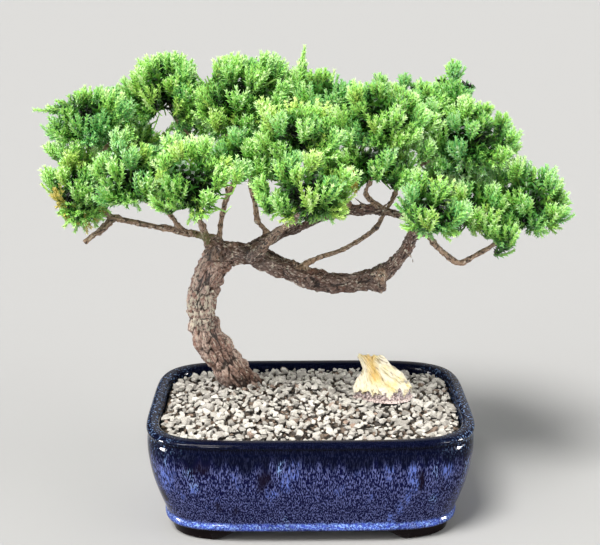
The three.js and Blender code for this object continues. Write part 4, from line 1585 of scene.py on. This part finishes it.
@dataclass
class Spray:
    """One foliage spray. Sizes are in millimetres.

    Attributes:
        name: The spray's name. Its node in the frame has the prefix spray_.
        at: Its middle.
        half: Its half sizes out to the tips of its shoots.
        leader: The tip of one slim leading plume that stands out further than the rest, if any.
        leader_from: A place that this plume points away from, if not the middle.
        fillers: Tips of more plumes that fill out the crown towards the next spray.
        blue: How much bluer the spray is than the others, from -1 to 1.
        dead: The share of its lower plumes that are withered.
        plume_area: The part of the spray's outside that one plume takes, in square millimetres.
        lowest: The lowest direction of a plume, from -1 straight down to 1 straight up.
        shoots_per_plume: How many shoots stand round a plume's own tip.
        plume_depth: The length of a plume's own stem, from its root to its tip.
        rooted_share: The share of that stem, from its root, where shoots start.
        fan: How far the shoots lean away from their plume.
        lift: How far they lean upwards.
        rise: How far the plumes lean upwards from straight out.
        reach_limit: How far out of the half sizes a shoot may reach.
        twig_end_drop: How far below the middle the carrying twig ends, as a share of the half height.
        slimmest_filled: The least half size of a spray that has old shoots inside, so none show through.
    """

    name: str
    at: Point
    half: Point
    leader: Point | None = None
    leader_from: Point | None = None
    fillers: tuple[Point, ...] = ()
    blue: float = 0.0
    dead: float = 0.0
    plume_area: float = 480.0
    lowest: float = -0.85
    shoots_per_plume: int = 8
    plume_depth: float = 23.0
    rooted_share: float = 0.62
    fan: float = 0.6
    lift: float = 0.4
    rise: float = 1.6
    reach_limit: float = 1.11
    twig_end_drop: float = 0.22
    slimmest_filled: float = 20.0

    def twig_end(self) -> Point:
        """Where the twig that carries the spray ends."""
        return (self.at[0], self.at[1], self.at[2] - self.twig_end_drop * self.half[2])

    def plume_ways(self, rng: np.random.Generator) -> np.ndarray:
        """Directions from the spray's middle to its plumes' tips, spread evenly.

        Args:
            rng: The source of random numbers.

        Returns:
            Unit vectors.
        """
        a, b, c = self.half
        area = 4 * math.pi * (((a * b) ** 1.6 + (a * c) ** 1.6 + (b * c) ** 1.6) / 3) ** (1 / 1.6)
        count = max(9, round(area * (1 - self.lowest) / 2 / self.plume_area))
        i = np.arange(count) + 0.5
        z = 1 - (1 - self.lowest) * i / count
        turn = GOLDEN_ANGLE * i + rng.uniform(0, 2 * math.pi)
        flat = np.sqrt(np.maximum(0, 1 - z * z))
        ways = np.stack([flat * np.cos(turn), flat * np.sin(turn), z], 1)
        return unit(ways + rng.normal(0, 0.16, ways.shape))

    def shoots(self, rng: np.random.Generator, valleys: list[np.ndarray]) -> tuple[Shoots, np.ndarray]:
        """Lays out the spray: plumes that rise side by side from inner twigs, each with shoots round it.

        Args:
            rng: The source of random numbers.
            valleys: Tips of more plumes, in the valleys towards the next sprays.

        Returns:
            The shoots, and the inner twigs out to the plumes' tips as rows of places.
        """
        middle, half = np.array(self.at), np.array(self.half)
        ways = self.plume_ways(rng)
        tips = middle + half * ways * rng.uniform(0.82, 1.12, (len(ways), 1))
        own = len(tips)
        if self.fillers or valleys:
            tips = np.vstack([tips, *self.fillers, *valleys])
            ways = np.vstack([ways, unit((tips[own:] - middle) / half)])
        count, number = len(ways), self.shoots_per_plume
        fan = np.full((count, 1, 1), self.fan)
        size = np.ones((count, 1))
        rise = self.rise * (1 - np.clip(-1.3 * ways[:, 2:], 0, 0.85))
        heading = unit(ways + rise * np.array([0, 0, 1.0]) + rng.normal(0, 0.14, (count, 3)))
        depth = self.plume_depth * rng.uniform(0.8, 1.22, (count, 1))
        if self.leader:
            leading = np.argmin(np.linalg.norm(tips[:own] - self.leader, axis=1))
            tips[leading] = self.leader
            heading[leading] = unit(tips[leading] - np.array(self.leader_from or self.at))
            fan[leading] *= 0.5
            size[leading] = 0.62
            depth[leading] *= 1.35
        roots = tips - depth * heading
        roots[:, 2:] += 0.12 * depth
        bends = tips - 0.55 * depth * heading - (0, 0, 1.5)
        back = (1 - self.rooted_share * np.arange(number) / number)[None]
        places, tangents = curve(roots, bends, tips, 1 - back)
        across = unit(np.cross(tangents, rng.normal(size=(count, 1, 3))))
        turn = (GOLDEN_ANGLE * np.arange(number) + rng.uniform(0, 2 * math.pi, (count, 1)))[..., None]
        radial = across * np.cos(turn) + np.cross(tangents, across) * np.sin(turn)
        directions = unit(tangents + fan * radial + self.lift * np.array([0, 0, 1.0]))
        reach = (size * (2.5 + 0.78 * back * depth) * rng.uniform(0.8, 1.12, (count, number)))[..., None]
        side_tips = places + directions * reach
        side_bends = places + (0.34 * directions + 0.2 * radial) * reach
        lead_root = curve(roots, bends, tips, np.array([[0.45]]))[0]
        lead_bend = 0.5 * (lead_root + tips[:, None])
        starts, bent, ends = (
            np.concatenate(pair, 1)
            for pair in ((places, lead_root), (side_bends, lead_bend), (side_tips, tips[:, None]))
        )
        outness = np.linalg.norm((ends - middle) / half, axis=2, keepdims=True)
        limit = np.full(outness.shape, self.reach_limit)
        limit[own:] = np.inf
        if self.leader:
            limit[leading] = np.inf
        ends = middle + (ends - middle) * np.minimum(1, limit / outness)
        # Shoots are lighter towards the spray's outside and top and darker inside: partly the needles' age,
        # partly painted light and painted shade.
        ageing_and_shading = 1.5 * min(1.0, min(self.half) / 28)
        youth = 0.6 + ageing_and_shading * (np.minimum(outness[..., 0], 1.05) - 0.9) + 0.1 * ways[:, 2:]
        youth = np.clip(youth + rng.normal(0, 0.07, youth.shape), 0.1, 0.95)
        plume_tint = np.clip(rng.uniform(0.15, 0.85, (count, 1)) + 0.3 * self.blue, 0, 1)
        tint = np.clip(plume_tint + rng.normal(0, 0.06, youth.shape), 0, 1)
        is_withered = (ways[:, 2:] < 0.1) & (rng.uniform(0, 1, (count, 1)) < self.dead)
        dead = np.broadcast_to(is_withered.astype(float), youth.shape)
        hub = np.broadcast_to(np.array(self.twig_end()), roots.shape) + rng.normal(0, 1.5, roots.shape)
        elbow = 0.5 * (hub + roots) - (0, 0, 2.5)
        inner = np.stack([hub, 0.25 * hub + 0.5 * elbow + 0.25 * roots, roots, lead_root[:, 0]], 1)
        flat = [v.reshape(-1, 3) for v in (starts, bent, ends)]
        is_clear = is_clear_of_gaps(flat[1]) & is_clear_of_gaps(flat[2])
        rows = [*flat, *(v.reshape(-1) for v in (youth, tint, dead))]
        return Shoots(*(row[is_clear] for row in rows)), inner

    def old_shoots(self, rng: np.random.Generator) -> Shoots:
        """Lays out the dark old shoots inside the spray, which fill it behind its plumes. Their darkness is
        partly their age and partly painted shade.

        Args:
            rng: The source of random numbers.

        Returns:
            The shoots.
        """
        middle, half = np.array(self.at), np.array(self.half)
        count = max(8, round(0.012 * half[0] * half[1] * half[2] ** 0.5 / 2))
        ways = unit(rng.normal(size=(count, 3)) + (0, 0, 0.1))
        start = np.array(self.twig_end()) + ways * half * rng.uniform(0.1, 0.3, (count, 1))
        ends = middle + ways * half * rng.uniform(0.55, 0.78, (count, 1))
        bends = 0.5 * (start + ends) - (0, 0, 2.0)
        # Dark shoots: partly old needles, partly painted shade deep in the spray.
        youth = rng.uniform(0.14, 0.36, count)
        tint = rng.uniform(0.2, 0.7, count)
        is_clear = is_clear_of_gaps(bends) & is_clear_of_gaps(ends)
        rows = [row[is_clear] for row in (start, bends, ends, youth, tint, np.zeros(count))]
        needle = min(7.0, 0.28 * min(self.half))
        return Shoots(*rows, needle=needle, internode=3.3, open_deg=(64.0, 44.0))

    def inner_twigs(self, twigs: np.ndarray) -> Surface:
        """Thin stems from the spray's middle out into its plumes.

        Args:
            twigs: Places along each stem.

        Returns:
            The stems.
        """
        count, steps = twigs.shape[:2]
        tangents = unit(np.gradient(twigs, axis=1))
        across = unit(np.cross(tangents, np.array([0.3, 0.9, 0.2])))
        up = np.cross(tangents, across)
        radii = np.linspace(1.1, 0.55, steps)[None, :, None, None]
        turn = (np.arange(3) * 2 * math.pi / 3)[:, None]
        ring = across[:, :, None] * np.cos(turn) + up[:, :, None] * np.sin(turn)
        points = (twigs[:, :, None] + radii * ring).reshape(count, -1, 3)
        faces = [(0, 2, 1), (3 * steps - 3, 3 * steps - 2, 3 * steps - 1)]
        faces += split(loft(steps, 3)).tolist()
        index = np.array(faces)[None] + (np.arange(count) * 3 * steps)[:, None, None]
        total = count * 3 * steps
        marks = {
            "youth": np.tile(np.repeat(np.linspace(0.1, 0.6, steps), 3), count),
            "tint": np.full(total, 0.4),
            "stem": np.full(total, 0.8),
            "dead": np.tile(np.repeat(np.linspace(0.54, 0.3, steps), 3), count),
        }
        return Surface(points.reshape(-1, 3) * MM, index.reshape(-1, 3), marks)

    def build(self, seed: int, material: Material, valleys: list[np.ndarray]) -> int:
        """Builds the spray and dresses it.

        Args:
            seed: The seed of its random numbers.
            material: The needles' finish.
            valleys: Tips of more plumes, in the valleys towards the next sprays.

        Returns:
            Its number of triangles.
        """
        rng = np.random.default_rng(seed)
        shoots, twigs = self.shoots(rng, valleys)
        layers = [shoots.grown(rng), self.inner_twigs(twigs)]
        if min(self.half) >= self.slimmest_filled:
            layers.append(self.old_shoots(rng).grown(rng))
        surface = joined(layers)
        name = "needles_" + self.name
        mesh = surface.mesh(name, Shading.FLAT)
        place_piece(name, mesh, material, Slot.FOLIAGE, ["spray_" + self.name])
        return len(surface.faces)


CROWN = (
    Spray(
        "far_left_upper", (-172, -8, 330.5), (36, 38, 26), leader=(-218, -8, 336), blue=0.5,
        fillers=((-170, -20, 307), (-173, -22, 309), (-163, 0, 354.5), (-208.5, -10, 317)),
    ),
    Spray(
        "far_left_lower", (-181, -25, 277), (24, 30, 37), blue=-0.5, dead=0.26,
        fillers=(
            (-205, -15, 313), (-192, -22, 314), (-180, -30, 316), (-208, -20, 289.5), (-194, -30, 245.5),
            (-185, -32, 241), (-175, -32, 240), (-167, -28, 244.5), (-208, -22, 295),
        ),
    ),
    Spray(
        "left_dome", (-113.5, 15, 349), (36, 38, 32),
        fillers=(
            (-104, -10, 322), (-88, -12, 330), (-99, 14, 376), (-109.5, 4, 314.5),
            (-105, 12, 319), (-99.5, 0, 312), (-111, 14, 379), (-129, 14, 378), (-147.5, 10, 361),
            (-106, 14, 380.5), (-92.5, 8, 370), (-93.5, 8, 362),
        ),
    ),
    Spray(
        "left_front", (-136, -55, 292), (31, 33, 31), blue=0.1, dead=0.04,
        fillers=((-115, -30, 312), (-151.5, -50, 309)),
    ),
    Spray(
        "centre_left_low", (-88, -75, 290), (33, 34, 34), blue=-0.6,
        fillers=(
            (-104, -40, 316), (-85, -40, 318), (-108, -45, 324), (-99, -42, 322), (-89.5, -46, 322.5),
            (-81.5, -44, 317.5),
        ),
    ),
    Spray(
        "centre_left_top", (-55, -5, 347), (37, 38, 35), blue=-0.1,
        fillers=(
            (-60, -4, 378), (-44.5, -4, 376.5), (-25, 0, 379.5), (-32, 2, 381), (-21, 2, 373.5),
            (-60.9, -4, 380), (-76.5, -4, 370.5), (-80, -14, 322), (-90, 2, 313), (-80.5, 0, 309.5),
            (-75, -10, 305.5),
        ),
    ),
    Spray(
        "centre_mid", (-46, -42, 306), (31, 30, 27), blue=0.2, dead=0.04,
        fillers=((-27, -60, 300), (-27.5, -60, 288)),
    ),
    Spray("centre_front_low", (-4.5, -92, 287), (38, 31, 31), blue=-0.2, fillers=((14, -62, 309),)),
    Spray(
        "centre_front", (-10, -66, 326), (31, 31, 26), blue=-0.5,
        fillers=((19, -42, 330), (-7.5, -40, 303)),
    ),
    Spray(
        "centre_top", (9, 5, 341), (36, 38, 28),
        leader=(-3, 5, 385), leader_from=(-6, 5, 362), blue=0.5,
        fillers=((-12.5, 3, 368.5), (-17.5, 4, 361), (1, 5, 366), (13, 5, 367)),
    ),
    Spray("right_centre", (52, -45, 335.5), (36, 37, 31), fillers=((22, -48, 324),)),
    Spray(
        "right_centre_low", (49, -55, 301), (35, 32, 24), blue=-0.1, dead=0.04,
        fillers=((79, 0, 296.5),),
    ),
    Spray(
        "right_mid", (69, 22, 330), (30, 30, 25), blue=0.3,
        fillers=((83, 10, 300), (90, 14, 301.5), (57, 16, 362.5), (76.5, 4, 363.5)),
    ),
    Spray("right_knoll", (87, -6, 343), (17, 20, 20), blue=0.3, fillers=((104, 4, 338),)),
    Spray(
        "right_spire", (117, 10, 352), (12.5, 16, 24.5), blue=0.4, dead=0.12,
        fillers=((104, 8, 360), (127, 10, 356)),
    ),
    Spray(
        "right_shoulder", (125, -10, 314.5), (40, 40, 31), blue=0.2,
        fillers=((164, -12, 305), (156.5, -12, 295), (139, 0, 339), (165.7, -8, 315.5), (141, -5, 341)),
    ),
    Spray("right_front_low", (89, -75, 271), (28, 30, 30), blue=0.1),
    Spray("right_low_mid", (127, -18, 258), (32, 33, 27), dead=0.04),
    Spray(
        "far_right", (173.5, -13, 263), (36.5, 37, 31), blue=0.4,
        fillers=(
            (170, -12, 299), (176, -14, 233.5), (184, -14, 231.5), (189, -14, 234.5), (174.3, -10, 290.5),
        ),
    ),
    Spray("far_right_tip", (152, -30, 243), (15, 18, 19), blue=-0.1, dead=0.04),
    Spray("back_left", (-156, 70, 313), (38, 41, 30)),
    Spray("back_centre_left", (-86, 81, 328), (38, 41, 31), blue=0.2),
    Spray("back_centre", (-11, 84, 324), (40, 38, 31), blue=-0.2),
    Spray("back_right", (66, 81, 316), (40, 41, 31)),
    Spray("back_far_right", (134, 66, 280), (39, 41, 32), blue=0.2),
)


def valley_tips(crown: tuple[Spray, ...]) -> dict[str, list[np.ndarray]]:
    """Finds where plumes fill the valleys between neighbouring sprays, so that the crown is one canopy.

    Args:
        crown: The sprays.

    Returns:
        The plumes' tips in millimetres, by the name of the spray that grows them.
    """
    rng = np.random.default_rng(VALLEY_SEED)
    found: dict[str, list[np.ndarray]] = {spray.name: [] for spray in crown}
    for i, one in enumerate(crown):
        for other in crown[i + 1 :]:
            apart = np.subtract(other.at, one.at)
            way = unit(apart)
            reach = [1 / np.linalg.norm(way / np.array(spray.half)) for spray in (one, other)]
            gap = np.linalg.norm(apart) - sum(reach)
            if gap > VALLEY_WIDEST:
                continue
            neck = one.at + way * (reach[0] + gap / 2)
            across = unit(np.cross(way, (0.1, 0.2, 1.0)))
            for turn in np.arange(6) * math.pi / 3 + rng.uniform(0, 1):
                out = across * math.cos(turn) + np.cross(way, across) * math.sin(turn)
                tip = neck + VALLEY_FILL * min(reach) * out
                is_buried = any(np.linalg.norm((tip - s.at) / s.half) < 0.9 for s in crown)
                if out[2] > -0.4 and not is_buried:
                    found[(one, other)[round(turn) % 2].name].append(tip)
    return found


# The studio


@dataclass
class Studio:
    """Camera, floor and lights. Lengths are in metres.

    A sun is a name, the way to its source, watts per square metre and degrees of width. A glint is a name,
    a place, a width and watts.
    """

    look_at: Point = (-0.00773, 0.0, 0.20075)
    distance: float = 1.02343
    azimuth_deg: float = -0.31
    elevation_deg: float = 14.52
    roll_deg: float = -0.22
    lens_mm: float = 74.99
    sensor_mm: float = 36.0
    floor_radius: float = 40.0
    air: float = 0.2
    sky: str = "#eef0f2"
    daylight: str = "#fffaf2"
    board: str = "#a9abae"
    suns: tuple[tuple[str, Point, float, float], ...] = (
        ("key_daylight", (-0.45, -0.75, 1.25), 4.5, 22.0),
        ("left_fill", (-1.0, -0.7, 0.6), 1.5, 50.0),
        ("right_fill", (1.1, -0.6, 0.5), 1.4, 50.0),
        ("back_fill", (0.3, 1.0, 0.8), 0.7, 60.0),
    )
    glints: tuple[tuple[str, Point, float, float], ...] = (
        ("upper_left_glint", (-1.0, -1.0, 1.0), 0.3, 28.0),
        ("upper_right_glint", (1.15, -0.9, 0.8), 0.26, 19.0),
        ("left_glint", (-1.0, -0.2, 0.11), 0.24, 74.0),
        ("right_glint", (1.0, -0.2, 0.11), 0.24, 74.0),
        ("front_glint", (-0.46, -1.4, 0.44), 0.3, 32.0),
    )

    def place_camera(self) -> None:
        """Puts the camera where the tree's front is seen from."""
        azimuth, elevation = math.radians(self.azimuth_deg), math.radians(self.elevation_deg)
        level = math.cos(elevation)
        back = Vector((math.sin(azimuth) * level, -math.cos(azimuth) * level, math.sin(elevation)))
        data = bpy.data.cameras.new("camera")
        data.lens = self.lens_mm
        data.sensor_fit = "HORIZONTAL"
        data.sensor_width = self.sensor_mm
        data.clip_start, data.clip_end = 0.01, 100.0
        camera = place_object("camera", data)
        turn = back.to_track_quat("Z", "Y").to_matrix().to_4x4()
        roll = Matrix.Rotation(math.radians(self.roll_deg), 4, "Z")
        camera.matrix_world = Matrix.Translation(Vector(self.look_at) + back * self.distance) @ turn @ roll
        bpy.context.scene.camera = camera

    def place_floor(self) -> None:
        """Lays a plain pale floor."""
        turns = np.linspace(0, 2 * math.pi, 96, endpoint=False)
        ring = np.column_stack([np.cos(turns), np.sin(turns)]) * self.floor_radius
        mesh = bpy.data.meshes.new("floor")
        mesh.from_pydata([(x, y, 0.0) for x, y in ring], [], [tuple(range(len(ring)))])
        shine = {"Base Color": linear(self.board), "Roughness": 0.95, "Specular IOR Level": 0.0}
        mesh.materials.append(Paint("painted_board_rolled").finished(None, shine))
        place_object("floor", mesh)

    def place_glint(self, name: str, position: Point, size: float, watts: float) -> None:
        """Adds a square softbox that faces the tree and only gives gloss its highlights.

        Args:
            name: The light's name.
            position: Its place.
            size: Its width.
            watts: Its power.
        """
        data = bpy.data.lights.new(name, "AREA")
        data.shape = "SQUARE"
        data.size = size
        data.energy = watts
        light = place_object(name, data)
        light.location = position
        light.visible_camera = False
        light.visible_diffuse = False
        aim = Vector(position) - Vector((0, 0, min(position[2], 0.2)))
        light.rotation_euler = aim.to_track_quat("Z", "Y").to_euler()

    def place_sun(self, name: str, source: Point, strength: float, spread_deg: float) -> None:
        """Adds a broad soft light that falls on the tree and on all of the floor alike.

        Args:
            name: The light's name.
            source: The way to where it comes from.
            strength: Its strength in watts per square metre.
            spread_deg: How wide it looks from the tree, in degrees.
        """
        data = bpy.data.lights.new(name, "SUN")
        data.energy = strength
        data.angle = math.radians(spread_deg)
        data.color = linear(self.daylight)[:3]
        place_object(name, data).rotation_euler = Vector(source).to_track_quat("Z", "Y").to_euler()

    def build(self) -> None:
        """Sets up the camera, the floor and the lights."""
        self.place_camera()
        self.place_floor()
        for sun in self.suns:
            self.place_sun(*sun)
        for glint in self.glints:
            self.place_glint(*glint)
        world = bpy.data.worlds.new("studio_air")
        world.use_nodes = True
        background = world.node_tree.nodes.get("Background")
        background.inputs["Color"].default_value = linear(self.sky)
        background.inputs["Strength"].default_value = self.air
        scene = bpy.context.scene
        scene.world = world
        scene.view_settings.view_transform = "Standard"


def dress_hidden_nodes() -> None:
    """Gives the soil and the drain screens their finishes: they keep the frame's own meshes."""
    soil, screen = BarkAndPeatMix().make(), PolyethyleneMesh().make()
    finishes = {"soil": soil, "drain_screen_left": screen, "drain_screen_right": screen}
    for node, material in finishes.items():
        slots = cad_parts[node].material_slots
        for slot in slots:
            slot.material = material
        LOG.info("%s: dressed %d slot", node, len(slots))


def main() -> None:
    """Builds every part of the bonsai in order and reports each one."""
    logging.basicConfig(level=logging.INFO, format="%(message)s")
    Studio().build()
    pot = Pot()
    pot.build()
    dress_hidden_nodes()
    Gravel(pot).build()
    OrnamentalStone().build()
    Wood({spray.name: spray for spray in CROWN}).build()
    needles = JuniperNeedles().make()
    valleys = valley_tips(CROWN)
    LOG.info("foliage: %d plumes in the valleys", sum(map(len, valleys.values())))
    total = 0
    for seed, spray in enumerate(CROWN, start=FIRST_SPRAY_SEED):
        total += spray.build(seed, needles, valleys[spray.name])
    LOG.info("foliage: %d triangles in %d sprays", total, len(CROWN))


if __name__ == "__main__":
    main()
